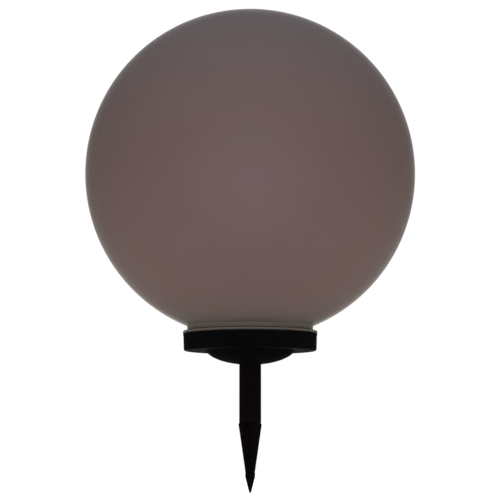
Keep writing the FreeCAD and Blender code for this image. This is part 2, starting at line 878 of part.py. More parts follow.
def board_components():
    """A charge chip, a coil, a capacitor and four wire connectors."""
    far = board_centre + board_width / 4
    long_side, short_side, height = chip_size
    found = [block(board_centre, 0, short_side, long_side, board_top, board_top + height)]
    found.append(post(far, -coil_place, coil_radius, board_top, board_top + coil_height))
    found.append(post(far, -capacitor_place, capacitor_radius, board_top, board_top + capacitor_height))
    width, length, rise = connector_size
    for x, y in connector_places():
        found.append(block(x, y, width, length, board_top, board_top + rise))
    return found


def connector_places():
    """Where the wires of the panel, the switch, the battery and the lamps plug in."""
    width, length, rise = connector_size
    near = board_centre - board_width / 2 + width / 2 + edge_break
    far = board_centre + board_width / 2 - width / 2 - edge_break
    end = board_length / 2 - length / 2 - edge_break
    return [(near, end - length - connector_gap), (near, end), (near, -end), (far, lamp_connector_place)]


# --- Push switch
def switch_body():
    x, y = switch_centre()
    seat = well_top() + dome_wall + seal_thickness
    box = block(x, y, switch_box_side, switch_box_side, seat, seat + switch_box_height)
    bushing = post(x, y, bushing_radius, bushing_end(), seat + edge_break)
    top = seat + switch_box_height
    pins = []
    for side in (-1, 1):
        centre = y + side * wire_pair_gap / 2
        pins.append(block(x, centre, terminal_thickness, terminal_width, top - edge_break, top + terminal_height))
    bore = post(x, y, bushing_bore_radius, bushing_end(), seat + switch_box_height / 2)
    return joined([box, bushing] + pins).cut(bore)


def bushing_end():
    return well_top() - nut_thickness - bushing_proud


def switch_seal():
    x, y = switch_centre()
    seat = well_top() + dome_wall
    outer = post(x, y, switch_box_side / 2, seat, seat + seal_thickness)
    return outer.cut(post(x, y, bushing_radius + bushing_clearance, seat, seat + seal_thickness))


def switch_nut():
    x, y = switch_centre()
    bottom = well_top() - nut_thickness
    corner_radius = nut_flat_radius / math.cos(math.pi / 6)
    corners = [V(x + corner_radius * math.cos(math.radians(a)), y + corner_radius * math.sin(math.radians(a)), bottom)
               for a in spread(6)]
    prism = Part.Face(Part.makePolygon(corners + corners[:1])).extrude(V(0, 0, nut_thickness))
    return prism.cut(post(x, y, bushing_radius + bushing_clearance / 2, bottom, well_top()))


def switch_button():
    """The cap that a finger presses and the stem that runs in the bushing."""
    x, y = switch_centre()
    cap_top = bushing_end() - button_travel - button_end_gap
    cap_bottom = cap_top - button_height
    edges = [
        line((0, cap_bottom), (button_radius - button_edge_radius, cap_bottom)),
        arc((button_radius - button_edge_radius, cap_bottom + button_edge_radius), button_edge_radius, -90, 0),
        line((button_radius, cap_bottom + button_edge_radius), (button_radius, cap_top)),
        line((button_radius, cap_top), (0, cap_top)),
        line((0, cap_top), (0, cap_bottom)),
    ]
    cap = turned(edges)
    cap.translate(V(x, y, 0))
    stem_top = well_top() + dome_wall + seal_thickness
    stem = post(x, y, bushing_bore_radius - button_stem_clearance, cap_top - edge_break, stem_top)
    return joined([cap, stem])


# --- Wires
def wire_pair(points, upper=1):
    """Two wires along one route, a gap apart in y. Between their ends the upper one, 1 or -1, is a step higher."""
    half = wire_pair_gap / 2
    pair = []
    for sign in (-1, 1):
        first, *middle, last = [(x, y + sign * half, z) for x, y, z in points]
        middle = [(x, y, z + upper * sign * wire_pair_step / 2) for x, y, z in middle]
        pair.append(tube_along([first] + middle + [last]))
    return pair


def panel_wires():
    """From the panel's back, down through the deck, to the first connector."""
    x, y = connector_places()[0]
    top = board_top + connector_size[2]
    middle = (panel_bottom + top) / 2
    route = [(panel_lead_place, 0, panel_bottom), (panel_lead_place, 0, middle + panel_wire_slant)]
    route += [(x, y, middle - panel_wire_slant), (x, y, top)]
    return wire_pair(route)


def switch_wires():
    """From the switch's pins, past the end of the battery holder, to the second connector."""
    start_x, start_y = switch_centre()
    start = well_top() + dome_wall + seal_thickness + switch_box_height + terminal_height
    x, y = connector_places()[1]
    top = board_top + connector_size[2]
    pass_by = holder_half_length + switch_wire_gap
    over = top + switch_wire_rise
    lift = over - switch_wire_climb
    route = [(start_x, start_y, start), (start_x, start_y, lift), (start_x / 2, pass_by, lift)]
    route += [(x / 2, pass_by, over), (x, y, over), (x, y, top)]
    return wire_pair(route, upper=-1)


def battery_wires():
    """One wire from each end contact to the third connector; the far one runs beside the holder."""
    x, y = connector_places()[2]
    top = board_top + connector_size[2]
    tag = socket_top + holder_floor + contact_height
    over = tag + battery_lead_rise
    end = holder_inner_half
    near_x = x - wire_pair_gap / 2
    far_x = x + wire_pair_gap / 2
    near = [(0, -end, tag), (0, -end, over), (battery_lead_lane, -end, over), (near_x, y, over), (near_x, y, top)]
    far = [(0, end, tag), (0, end, over), (battery_lead_lane, end, over), (battery_lead_lane, 0, tag)]
    far += [(far_x, y, over), (far_x, y, top)]
    return [tube_along(route) for route in (near, far)]


def lamp_wires():
    """From the ring board's underside to the last connector."""
    x, y = connector_places()[3]
    top = board_top + connector_size[2]
    out = led_circle - ring_board_half_width + 2 * wire_radius + edge_break
    middle = (ring_board_bottom + top) / 2
    route = [(out, y, ring_board_bottom), (out, y, middle + lamp_wire_slant)]
    route += [(x, y, middle - lamp_wire_slant), (x, y, top)]
    return wire_pair(route)


# --- The nodes, one file each. A list is a group of separate solids.
NODES = {
    "ground_spike": ground_spike,
    "stake_tube": stake_tube,
    "stake_dome": dome,
    "stake_socket": socket_frame,
    "dome_seal": dome_seal,
    "flange_screws": flange_screws,
    "base_cup": base_cup,
    "globe_gasket": globe_gasket,
    "globe": globe,
    "lamp_deck": lamp_deck,
    "deck_screws": deck_screws,
    "panel_tape": panel_tape,
    "panel_backing": panel_backing,
    "panel_cells": panel_cells,
    "panel_resin": panel_resin,
    "ring_board": ring_board,
    "ring_board_screws": ring_board_screws,
    "lamps": lamps,
    "battery_holder": battery_holder,
    "holder_screws": holder_screws,
    "battery_cell": battery_cell,
    "battery_contacts": battery_contacts,
    "controller_board": controller_board,
    "board_components": board_components,
    "board_screws": board_screws,
    "switch_body": switch_body,
    "switch_seal": switch_seal,
    "switch_nut": switch_nut,
    "switch_button": switch_button,
    "panel_wires": panel_wires,
    "switch_wires": switch_wires,
    "battery_wires": battery_wires,
    "lamp_wires": lamp_wires,
}


def main():
    os.makedirs("parts", exist_ok=True)
    for name, build in NODES.items():
        shape = build()
        if isinstance(shape, list):
            shape = Part.makeCompound(shape)
        shape.exportStep(f"parts/{name}.step")
        box = shape.BoundBox
        print(
            f"{name:20s} solids {len(shape.Solids)} valid {shape.isValid()} volume {shape.Volume:10.1f} "
            f"z {box.ZMin:7.2f} {box.ZMax:7.2f} r {max(abs(box.XMin), box.XMax):6.2f}"
        )


main()
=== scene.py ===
"""Solar garden globe light: the looks of the smoked globe, its black base and its ground stake.

Lengths are in metres. z points up, z = 0 is the ground line, and the camera of the photograph looks along +y.
"""

import math

import bmesh
import bpy
from mathutils import Matrix, Vector


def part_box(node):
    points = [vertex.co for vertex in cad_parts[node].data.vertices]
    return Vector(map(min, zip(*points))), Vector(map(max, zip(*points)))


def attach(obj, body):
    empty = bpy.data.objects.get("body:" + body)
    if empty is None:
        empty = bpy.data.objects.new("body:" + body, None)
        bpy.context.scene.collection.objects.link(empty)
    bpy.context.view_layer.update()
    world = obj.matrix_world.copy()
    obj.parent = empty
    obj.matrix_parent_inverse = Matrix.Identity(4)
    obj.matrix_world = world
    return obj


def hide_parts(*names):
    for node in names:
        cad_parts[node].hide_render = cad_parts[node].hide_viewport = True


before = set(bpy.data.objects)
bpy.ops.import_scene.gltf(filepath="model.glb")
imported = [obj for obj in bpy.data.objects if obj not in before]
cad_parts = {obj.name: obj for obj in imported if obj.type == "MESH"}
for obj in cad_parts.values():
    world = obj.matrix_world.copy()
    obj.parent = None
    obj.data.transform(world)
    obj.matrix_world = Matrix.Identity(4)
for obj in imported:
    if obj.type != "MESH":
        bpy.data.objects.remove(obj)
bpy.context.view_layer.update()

bl_info = {
    "name": "Solar Garden Globe Light",
    "version": (1, 0, 0),
    "blender": (4, 5, 0),
    "location": "View3D > Sidebar > Globe Light",
    "description": "Builds a smoked garden globe on a black base with a ground stake, solar panel and lamps",
    "category": "Add Mesh",
}

MM = 0.001
GLOBE_LOW, GLOBE_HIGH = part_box("globe")
CUP_LOW, CUP_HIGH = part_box("base_cup")
TUBE_LOW, TUBE_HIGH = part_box("stake_tube")
SPIKE_LOW, SPIKE_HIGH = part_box("ground_spike")
RESIN_LOW, RESIN_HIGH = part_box("panel_resin")
GASKET_LOW, GASKET_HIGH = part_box("globe_gasket")
LAMPS_LOW, LAMPS_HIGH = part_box("lamps")
BUTTON_LOW, BUTTON_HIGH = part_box("switch_button")
NUT_LOW, NUT_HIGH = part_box("switch_nut")

# The globe's tint where its wall is seen head-on (0) to along it (1), at its crown (a painted pale reflection) and in
# its neck, and the heights over the globe's low end where the neck's tint begins and where it is full
SLANT_TINTS = (
    (0.0, (0.985, 0.985, 0.97)),
    (0.05, (0.955, 0.955, 0.895)),
    (0.1, (0.93, 0.91, 0.84)),
    (0.25, (0.90, 0.88, 0.80)),
    (0.5, (0.835, 0.83, 0.74)),
    (0.75, (0.745, 0.81, 0.72)),
    (1.0, (0.64, 0.73, 0.60)),
)
# The crown's tint is a painted reflection: it makes the upper half of the globe paler and greyer
CROWN_REFLECTION_TINT = (0.96, 1.17, 1.18)
NECK_TINT = (0.85, 1.03, 0.93)
NECK_FADE = (54 * MM, 18 * MM)

# The stage: the camera's place, its tilt upwards in degrees and its lens, and the studio lamps
CAMERA_PLACE = (-0.0002, -2.6, -0.0617)
CAMERA_TILT, CAMERA_LENS, CAMERA_SENSOR = 5.9444, 155.35, 36.0
WHITE = (1.0, 1.0, 1.0)
BOUNCE = SPIKE_LOW.z + 0.02
STAGE_LAMPS = (
    # name, place, target, size, watts, tint
    ("overhead", (0.0, -0.2, 1.6), (0.0, 0.0, 0.2), 1.6, 1.0, WHITE),
    ("front_left", (-1.7, -1.6, 0.22), (0.0, 0.0, 0.25), 0.55, 1.5, WHITE),
    ("front_right", (1.7, -1.6, 0.22), (0.0, 0.0, 0.25), 0.55, 1.5, WHITE),
    ("floor_bounce", (0.0, -0.62, BOUNCE), (0.0, -0.1, 0.25), 0.6, 1.5, (1.0, 0.96, 0.92)),
    ("bounce_left", (-0.30, -0.04, BOUNCE), (-0.1, -0.05, 0.15), 0.2, 0.62, (1.0, 0.94, 0.9)),
    ("bounce_right", (0.30, -0.04, BOUNCE), (0.1, -0.05, 0.15), 0.2, 0.62, (1.0, 0.94, 0.9)),
)


# --- What a user may change
def length(name, description, default):
    """A length in metres that the sidebar shows in the scene's unit."""
    return bpy.props.FloatProperty(name=name, description=description, default=default, unit="LENGTH", precision=5)


def colour(name, description, default):
    """A linear colour."""
    return bpy.props.FloatVectorProperty(
        name=name, description=description, default=default, size=3, min=0.0, max=1.0, subtype="COLOR"
    )


def count(name, description, default):
    return bpy.props.IntProperty(name=name, description=description, default=default, min=1)


class GlobeLightSizes(bpy.types.PropertyGroup):
    globe_radius: length("Globe radius", "Outer radius of the round part of the globe", GLOBE_HIGH.x)
    globe_wall: length("Globe wall", "Thickness of the globe's wall", 2.4 * MM)
    neck_radius: length("Neck radius", "Outer radius of the globe's neck", 75.93 * MM)
    neck_fillet: length("Neck fillet", "Radius of the round where the neck meets the globe", 2.5 * MM)
    lip_radius: length("Lip radius", "Outer radius of the lip that rests on the base", 81.23 * MM)
    spigot_radius: length("Spigot radius", "Outer radius of the part that goes down into the base", 73.63 * MM)
    lug_tip: length("Lug tip", "Radius that the globe's lugs reach", 76.63 * MM)
    cup_foot_radius: length("Base foot radius", "Radius of the black ring at its lower edge", 80.03 * MM)
    cup_top_radius: length("Base top radius", "Radius of the black ring under its bead", 80.58 * MM)
    cup_bead_radius: length("Bead radius", "Radius of the bead round the top of the ring", CUP_HIGH.x)
    cup_inner: length("Base inner radius", "Inner radius of the black ring", 77.53 * MM)
    cup_hole: length("Base hole radius", "Radius of the hole that the dome hangs through", 54.08 * MM)
    hook_tip: length("Hook tip", "Radius that the hooks reach inwards to", 74.43 * MM)
    tube_radius: length("Tube radius", "Outer radius of the stake tube", TUBE_HIGH.x)
    tube_wall: length("Tube wall", "Wall of the stake tube", 2.0 * MM)
    fin_shoulder: length("Fin shoulder", "Radius of the fins at the ground line", 16.25 * MM)
    fin_foot: length("Fin foot", "Radius of the fins where they run into the point", 6.1 * MM)
    fin_thickness: length("Fin thickness", "Thickness of one fin", 2.8 * MM)
    fin_turn: bpy.props.FloatProperty(
        name="Fin turn", description="Angle of the first fin from +x", default=math.radians(35.0), subtype="ANGLE"
    )
    panel_radius: length("Panel radius", "Radius of the solar panel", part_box("panel_backing")[1].x)
    lamp_circle: length("Lamp circle", "Radius of the circle that the lamps stand on", 55.7 * MM)
    lamp_count: count("Lamps", "Number of lamps", 6)
    segments: count("Round segments", "Faces round a large turned piece", 256)


class GlobeLightColours(bpy.types.PropertyGroup):
    smoke: colour("Smoke", "Tint of the globe's plastic, once through its wall", (0.286, 0.2055, 0.215))
    black: colour("Black plastic", "Moulded black of the base", (0.0024, 0.0023, 0.0024))
    spike_black: colour("Spike black", "Moulded black of the ground spike", (0.0036, 0.0025, 0.0029))
    tube_black: colour("Tube black", "Drawn black of the stake tube", (0.0036, 0.0024, 0.0028))
    rubber: colour("Rubber", "Seals and the switch button", (0.012, 0.012, 0.012))
    silicon: colour("Silicon", "Solar cells", (0.006, 0.012, 0.045))
    silver: colour("Silver print", "Fingers and busbars on the cells", (0.62, 0.63, 0.65))
    steel: colour("Plated steel", "Screws, nut and contacts", (0.58, 0.57, 0.55))
    laminate: colour("White laminate", "Backing board of the panel", (0.72, 0.73, 0.71))
    mask: colour("Solder mask", "Circuit boards", (0.012, 0.13, 0.045))
    sleeve: colour("Battery sleeve", "Shrink sleeve of the battery", (0.03, 0.22, 0.09))
    wire: colour("Wire", "Insulation of the panel's and the battery's wires", (0.30, 0.02, 0.02))
    nylon: colour("Nylon", "Connectors on the controller board", (0.62, 0.60, 0.54))
    copper: colour("Copper", "Enamelled winding of the coil", (0.45, 0.16, 0.05))


def sizes():
    return bpy.context.scene.globe_light_sizes


def colours():
    return bpy.context.scene.globe_light_colours


# --- Shapes
def mm(*corners):
    """Tuples of millimetres as tuples of metres."""
    return [tuple(part * MM for part in corner) for corner in corners]


def raised(base, *corners):
    """Outline corners of (radius, height above the base, rounding) in millimetres, in metres."""
    return [(r * MM, base + z * MM, rounding * MM) for r, z, rounding in corners]


def soft_outline(corners, steps=5):
    """The (radius, height) points of a closed outline whose corners are (radius, height, rounding)."""
    points = []
    for i, (r, z, rounding) in enumerate(corners):
        here = Vector((r, z))
        if rounding <= 0:
            points.append(here)
            continue
        before = Vector(corners[i - 1][:2]) - here
        after = Vector(corners[(i + 1) % len(corners)][:2]) - here
        half = before.angle(after) / 2
        reach = min(rounding / math.tan(half), 0.49 * before.length, 0.49 * after.length)
        middle = (before.normalized() + after.normalized()).normalized()
        centre = here + middle * (reach * math.tan(half) / math.sin(half))
        first = here + before.normalized() * reach - centre
        turn = first.angle_signed(here + after.normalized() * reach - centre)
        points += [centre + Matrix.Rotation(-turn * k / steps, 2) @ first for k in range(steps + 1)]
    return points


def arc_points(centre, radius, from_angle, to_angle, steps):
    """Points on an arc in the (radius, height) plane, angles in degrees, both ends included."""
    angles = [math.radians(from_angle + (to_angle - from_angle) * k / steps) for k in range(steps + 1)]
    return [Vector((centre[0] + radius * math.cos(a), centre[1] + radius * math.sin(a))) for a in angles]


def level_ring(radius, height, points=24, sides=0):
    """Points on a level circle, or on a level polygon of that corner radius if sides is given."""
    found = []
    for k in range(points):
        angle = 2 * math.pi * k / points
        reach = radius
        if sides:
            part = math.pi / sides
            reach = radius * math.cos(part) / math.cos(angle % (2 * part) - part)
        found.append((reach * math.cos(angle), reach * math.sin(angle), height))
    return found


def object_from(bm, name, smooth_angle=35.0):
    """An object at the origin made from a bmesh, with its normals outwards and its sharp edges marked."""
    bmesh.ops.remove_doubles(bm, verts=bm.verts, dist=1e-7)
    bmesh.ops.recalc_face_normals(bm, faces=bm.faces)
    mesh = bpy.data.meshes.new(name)
    bm.to_mesh(mesh)
    bm.free()
    mesh.shade_smooth()
    mesh.set_sharp_from_angle(angle=math.radians(smooth_angle))
    piece = bpy.data.objects.new(name, mesh)
    bpy.context.scene.collection.objects.link(piece)
    return piece


def bridge(bm, rings, closed):
    """Faces between neighbouring rings of vertices, and from the last to the first if closed. One vertex is a pole."""
    for lower, upper in zip(rings, rings[1:] + (rings[:1] if closed else [])):
        most = max(len(lower), len(upper))
        for k in range(most if most > 1 else 0):
            n = (k + 1) % most
            corners = [lower[k % len(lower)], lower[n % len(lower)], upper[n % len(upper)], upper[k % len(upper)]]
            bm.faces.new(list(dict.fromkeys(corners)))


def lathe(name, profile, segments, smooth_angle=35.0, closed=True):
    """A piece turned about the z axis from (radius, height) points. Points on the axis become poles."""
    bm = bmesh.new()
    turns = [2 * math.pi * k / segments for k in range(segments)]
    rings = []
    for r, z in profile:
        angles = turns if r >= 1e-7 else turns[:1]
        rings.append([bm.verts.new((r * math.cos(a), r * math.sin(a), z)) for a in angles])
    bridge(bm, rings, closed)
    return object_from(bm, name, smooth_angle)


def stacked(name, rings, smooth_angle=35.0, closed=False):
    """A piece through level rings of equally many points, capped at both ends or closed on itself."""
    bm = bmesh.new()
    made = [[bm.verts.new(point) for point in ring] for ring in rings]
    bridge(bm, made, closed)
    if not closed:
        bm.faces.new(made[0])
        bm.faces.new(made[-1])
    return object_from(bm, name, smooth_angle)


def plate(name, outline, thickness, edge):
    """A flat plate in the xz plane through (x, z) points, centred on y = 0, with rounded edges."""
    bm = bmesh.new()
    face = bm.faces.new([bm.verts.new((x, -thickness / 2, z)) for x, z in outline])
    grown = bmesh.ops.extrude_face_region(bm, geom=[face])
    verts = [item for item in grown["geom"] if isinstance(item, bmesh.types.BMVert)]
    bmesh.ops.translate(bm, verts=verts, vec=(0, thickness, 0))
    bmesh.ops.bevel(bm, geom=list(bm.edges), offset=edge, segments=3, profile=0.5, affect="EDGES")
    return object_from(bm, name)


def arc_block(name, inner, outer, bottom, top, degrees, edge):
    """A curved block centred on +x, with rounded edges."""
    steps = max(3, round(degrees / 2))
    bm = bmesh.new()
    sections = []
    for k in range(steps + 1):
        angle = math.radians(degrees * (k / steps - 0.5))
        corners = [(inner, bottom), (outer, bottom), (outer, top), (inner, top)]
        sections.append([bm.verts.new((r * math.cos(angle), r * math.sin(angle), z)) for r, z in corners])
    bridge(bm, sections, False)
    bm.faces.new(sections[0])
    bm.faces.new(sections[-1])
    bmesh.ops.recalc_face_normals(bm, faces=bm.faces)
    sharp = [e for e in bm.edges if e.calc_face_angle(0) > math.radians(30)]
    bmesh.ops.bevel(bm, geom=sharp, offset=edge, segments=2, profile=0.5, affect="EDGES")
    return object_from(bm, name)


def block(name, size, middle, edge):
    """A rectangular block with rounded edges about its middle point."""
    bm = bmesh.new()
    bmesh.ops.create_cube(bm, size=1.0)
    bmesh.ops.scale(bm, vec=size, verts=bm.verts)
    bmesh.ops.translate(bm, vec=middle, verts=bm.verts)
    bmesh.ops.bevel(bm, geom=list(bm.edges), offset=edge, segments=2, profile=0.5, affect="EDGES")
    return object_from(bm, name)


def merged(name, pieces):
    """One object out of several; the parts go."""
    bm = bmesh.new()
    for piece in pieces:
        bm.from_mesh(piece.data)
        bpy.data.objects.remove(piece)
    return object_from(bm, name)


def placed(piece, matrix):
    """The piece with a matrix applied to its mesh."""
    piece.data.transform(matrix)
    return piece


def finished(piece, material, body, slot, *nodes):
    """Gives a piece its material and body, and lets it stand for its CAD nodes. The slot argument is not used."""
    piece.data.materials.clear()
    piece.data.materials.append(material)
    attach(piece, body)
    if nodes:
        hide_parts(*nodes)


# --- Node trees
def put(tree, socket, value):
    """Links a socket to an input, or sets the input to a number, a vector or a colour."""
    if isinstance(value, bpy.types.NodeSocket):
        tree.links.new(value, socket)
    elif socket.type == "RGBA":
        socket.default_value = (*value[:3], 1.0)
    else:
        socket.default_value = value


def node(tree, kind, inputs=None, **settings):
    """A new node with its settings, and its inputs by name or number."""
    made = tree.nodes.new(kind)
    for label, value in settings.items():
        setattr(made, label, value)
    for key, value in (inputs or {}).items():
        put(tree, made.inputs[key], value)
    return made


def maths(tree, operation, first, second):
    """The result of one step of arithmetic on sockets or numbers."""
    return node(tree, "ShaderNodeMath", {0: first, 1: second}, operation=operation).outputs[0]


def copies_tree(name, inputs, build):
    """A Geometry Nodes tree that ends in Realize Instances and Set Material, built the first time."""
    if name in bpy.data.node_groups:
        return bpy.data.node_groups[name]
    tree = bpy.data.node_groups.new(name, "GeometryNodeTree")
    for label, kind in [("Geometry", "Geometry"), *inputs, ("Material", "Material")]:
        tree.interface.new_socket(name=label, in_out="INPUT", socket_type="NodeSocket" + kind)
    tree.interface.new_socket(name="Geometry", in_out="OUTPUT", socket_type="NodeSocketGeometry")
    start = tree.nodes.new("NodeGroupInput").outputs
    copies = node(tree, "GeometryNodeInstanceOnPoints", build(tree, start)).outputs["Instances"]
    real = node(tree, "GeometryNodeRealizeInstances", {"Geometry": copies}).outputs["Geometry"]
    painted = node(tree, "GeometryNodeSetMaterial", {"Geometry": real, "Material": start["Material"]})
    node(tree, "NodeGroupOutput", {"Geometry": painted.outputs["Geometry"]})
    return tree


def ring_copies(tree, start):
    """Copies of a piece round a circle, each turned to face out from the circle's centre."""
    index = tree.nodes.new("GeometryNodeInputIndex").outputs[0]
    share = maths(tree, "DIVIDE", maths(tree, "MULTIPLY", index, 2 * math.pi), start["Count"])
    angle = maths(tree, "ADD", share, start["First angle"])
    reach = {}
    for axis, operation in (("X", "COSINE"), ("Y", "SINE")):
        reach[axis] = maths(tree, "MULTIPLY", maths(tree, operation, angle, 0.0), start["Circle radius"])
    around = node(tree, "ShaderNodeCombineXYZ", reach).outputs[0]
    place = node(tree, "ShaderNodeVectorMath", {0: around, 1: start["Centre"]}).outputs[0]
    points = node(tree, "GeometryNodePoints", {"Count": start["Count"], "Position": place})
    source = node(tree, "GeometryNodeObjectInfo", {"Object": start["Piece"]})
    turn = node(tree, "ShaderNodeCombineXYZ", {"Z": angle}).outputs[0]
    return {"Points": points.outputs[0], "Instance": source.outputs["Geometry"], "Rotation": turn}


def row_copies(tree, start):
    """A row of equal bars along y, such as the printed fingers across a solar cell."""
    step = node(tree, "ShaderNodeCombineXYZ", {"Y": start["Spacing"]}).outputs[0]
    line = {"Count": start["Count"], "Start Location": start["First place"], "Offset": step}
    row = node(tree, "GeometryNodeMeshLine", line)
    bar = node(tree, "GeometryNodeMeshCube", {"Size": start["Bar size"]})
    return {"Points": row.outputs["Mesh"], "Instance": bar.outputs["Mesh"]}


def from_tree(name, tree, values):
    """A plain mesh piece made by a tree with the given named values."""
    piece = bpy.data.objects.new(name, bpy.data.meshes.new(name))
    bpy.context.scene.collection.objects.link(piece)
    modifier = piece.modifiers.new("Build", "NODES")
    modifier.node_group = tree
    for item in tree.interface.items_tree:
        if item.item_type == "SOCKET" and item.in_out == "INPUT" and item.name in values:
            modifier[item.identifier] = values[item.name]
    piece.update_tag()
    bpy.context.view_layer.update()
    depsgraph = bpy.context.evaluated_depsgraph_get()
    made = bpy.data.meshes.new_from_object(piece.evaluated_get(depsgraph), depsgraph=depsgraph)
    piece.modifiers.clear()
    piece.data = made
    if not made.vertices:
        raise RuntimeError(f"{name} came out empty")
    return piece


def ring_of(name, template, material, copies, radius=0.0, first_degrees=0.0, centre=(0, 0, 0)):
    """Copies of a template round a circle, as one plain mesh. The template goes."""
    inputs = [("Count", "Int"), ("Circle radius", "Float"), ("First angle", "Float"), ("Centre", "Vector")]
    tree = copies_tree("Ring of copies", [*inputs, ("Piece", "Object")], ring_copies)
    template.data.materials.clear()
    values = {"Count": copies, "Circle radius": radius, "First angle": math.radians(first_degrees)}
    piece = from_tree(name, tree, {**values, "Centre": centre, "Piece": template, "Material": material})
    bpy.data.objects.remove(template)
    return piece


def row_of(name, material, bars, spacing, size, first_place):
    """A row of bars along y, as one plain mesh."""
    inputs = [("Count", "Int"), ("Spacing", "Float"), ("Bar size", "Vector"), ("First place", "Vector")]
    tree = copies_tree("Row of bars", inputs, row_copies)
    values = {"Count": bars, "Spacing": spacing, "Bar size": size, "First place": first_place}
    return from_tree(name, tree, {**values, "Material": material})


# --- Shared effects
def noise(tree, place, scale, detail=4.0, roughness=0.55):
    inputs = {"Vector": place, "Scale": scale, "Detail": detail, "Roughness": roughness}
    return node(tree, "ShaderNodeTexNoise", inputs).outputs["Fac"]


def ranged(tree, value, low, high, to_low, to_high):
    """A value mapped from one range to another and held within it."""
    inputs = {"Value": value, "From Min": low, "From Max": high, "To Min": to_low, "To Max": to_high}
    return node(tree, "ShaderNodeMapRange", inputs).outputs["Result"]


def mixed(tree, factor, first, second):
    """A colour between two. A Mix node's inputs 6 and 7 and its output 2 are the ones for colours."""
    return node(tree, "ShaderNodeMix", {0: factor, 6: first, 7: second}, data_type="RGBA").outputs[2]


def tinted(tree, colour, tint):
    """A colour times a tint, or a vector times another, channel by channel."""
    return node(tree, "ShaderNodeVectorMath", {0: colour, 1: tint}, operation="MULTIPLY").outputs[0]


def tint_ramp(tree, value, stops):
    """A tint that follows a value through (position, colour) stops."""
    made = node(tree, "ShaderNodeValToRGB", {"Fac": value})
    ramp = made.color_ramp
    ramp.elements[0].position, ramp.elements[-1].position = stops[0][0], stops[-1][0]
    for position, _ in stops[1:-1]:
        ramp.elements.new(position)
    for element, (_, tint) in zip(ramp.elements, stops):
        element.color = (*tint, 1.0)
    return made.outputs["Color"]


def new_effect(name, inputs, outputs):
    """An empty shader group with its named inputs and outputs."""
    tree = bpy.data.node_groups.new(name, "ShaderNodeTree")
    for label, kind, default in [("Place", "Vector", None), *inputs]:
        socket = tree.interface.new_socket(name=label, in_out="INPUT", socket_type="NodeSocket" + kind)
        if default is not None:
            socket.default_value = default
    for label, kind in outputs:
        tree.interface.new_socket(name=label, in_out="OUTPUT", socket_type="NodeSocket" + kind)
    return tree, tree.nodes.new("NodeGroupInput").outputs, tree.nodes.new("NodeGroupOutput").inputs


def moulded_grain(name):
    """The fine spark-eroded texture of a moulding, with slow flow marks in its gloss."""
    inputs = [("Grain scale", "Float", 1800.0), ("Roughness", "Float", 0.45), ("Roughness spread", "Float", 0.08)]
    tree, start, end = new_effect(name, inputs, [("Height", "Float"), ("Roughness", "Float")])
    place, scale = start["Place"], start["Grain scale"]
    cells = node(tree, "ShaderNodeTexVoronoi", {"Vector": place, "Scale": scale}, feature="SMOOTH_F1")
    pits = maths(tree, "MULTIPLY", cells.outputs["Distance"], 0.6)
    put(tree, end["Height"], maths(tree, "ADD", pits, noise(tree, place, scale, 3.0)))
    flow = maths(tree, "SUBTRACT", noise(tree, place, 22.0, 3.0), 0.5)
    spread = maths(tree, "MULTIPLY", flow, maths(tree, "MULTIPLY", start["Roughness spread"], 2.0))
    put(tree, end["Roughness"], maths(tree, "ADD", spread, start["Roughness"]))
    return tree


def draw_lines(name):
    """Faint lines along z that the die leaves on a drawn tube."""
    tree, start, end = new_effect(name, [("Lines per metre", "Float", 900.0)], [("Height", "Float")])
    stretch = tinted(tree, start["Place"], (1.0, 1.0, 0.02))
    put(tree, end["Height"], noise(tree, stretch, start["Lines per metre"], 3.0, 0.7))
    return tree


def fine_dust(name):
    """A thin uneven film of dust in clouds, and small worn specks."""
    inputs = [
        ("Colour", "Color", (0.0, 0.0, 0.0, 1.0)),
        ("Dust colour", "Color", (0.05, 0.045, 0.04, 1.0)),
        ("Amount", "Float", 0.05),
        ("Specks", "Float", 0.6),
    ]
    tree, start, end = new_effect(name, inputs, [("Colour", "Color"), ("Mask", "Float")])
    clouds = ranged(tree, noise(tree, start["Place"], 35.0, 5.0), 0.42, 0.75, 0.0, 1.0)
    specks = ranged(tree, noise(tree, start["Place"], 900.0, 2.0), 0.62, 0.72, 0.0, 1.0)
    both = maths(tree, "ADD", clouds, maths(tree, "MULTIPLY", specks, start["Specks"]))
    mask = maths(tree, "MULTIPLY", both, start["Amount"])
    put(tree, end["Colour"], mixed(tree, mask, start["Colour"], start["Dust colour"]))
    put(tree, end["Mask"], mask)
    return tree


EFFECTS = {"Moulded grain": moulded_grain, "Draw lines": draw_lines, "Fine dust": fine_dust}


# --- Materials
class Finish:
    """A material under construction: one Principled BSDF fed by shared effects."""

    def __init__(self, name, **values):
        self.material = bpy.data.materials.new(name)
        self.material.use_nodes = True
        self.tree = self.material.node_tree
        self.shader = next(n for n in self.tree.nodes if n.type == "BSDF_PRINCIPLED")
        self.place = self.tree.nodes.new("ShaderNodeTexCoord").outputs["Object"]
        self.feed(**values)

    def feed(self, **values):
        """Sets or links the shader's inputs."""
        for label, value in values.items():
            put(self.tree, self.shader.inputs[label.replace("_", " ")], value)

    def effect(self, name, **values):
        """Places a shared effect and returns its outputs."""
        group = bpy.data.node_groups.get(name) or EFFECTS[name](name)
        inputs = {label.replace("_", " "): value for label, value in values.items()}
        return node(self.tree, "ShaderNodeGroup", {"Place": self.place, **inputs}, node_tree=group).outputs

    def grain(self, scale, roughness, spread):
        """The moulded grain, which feeds the roughness."""
        made = self.effect("Moulded grain", Grain_scale=scale, Roughness=roughness, Roughness_spread=spread)
        self.feed(Roughness=made["Roughness"])
        return made

    def bump(self, height, strength, depth):
        inputs = {"Strength": strength, "Distance": depth * MM, "Height": height}
        self.feed(Normal=node(self.tree, "ShaderNodeBump", inputs).outputs["Normal"])


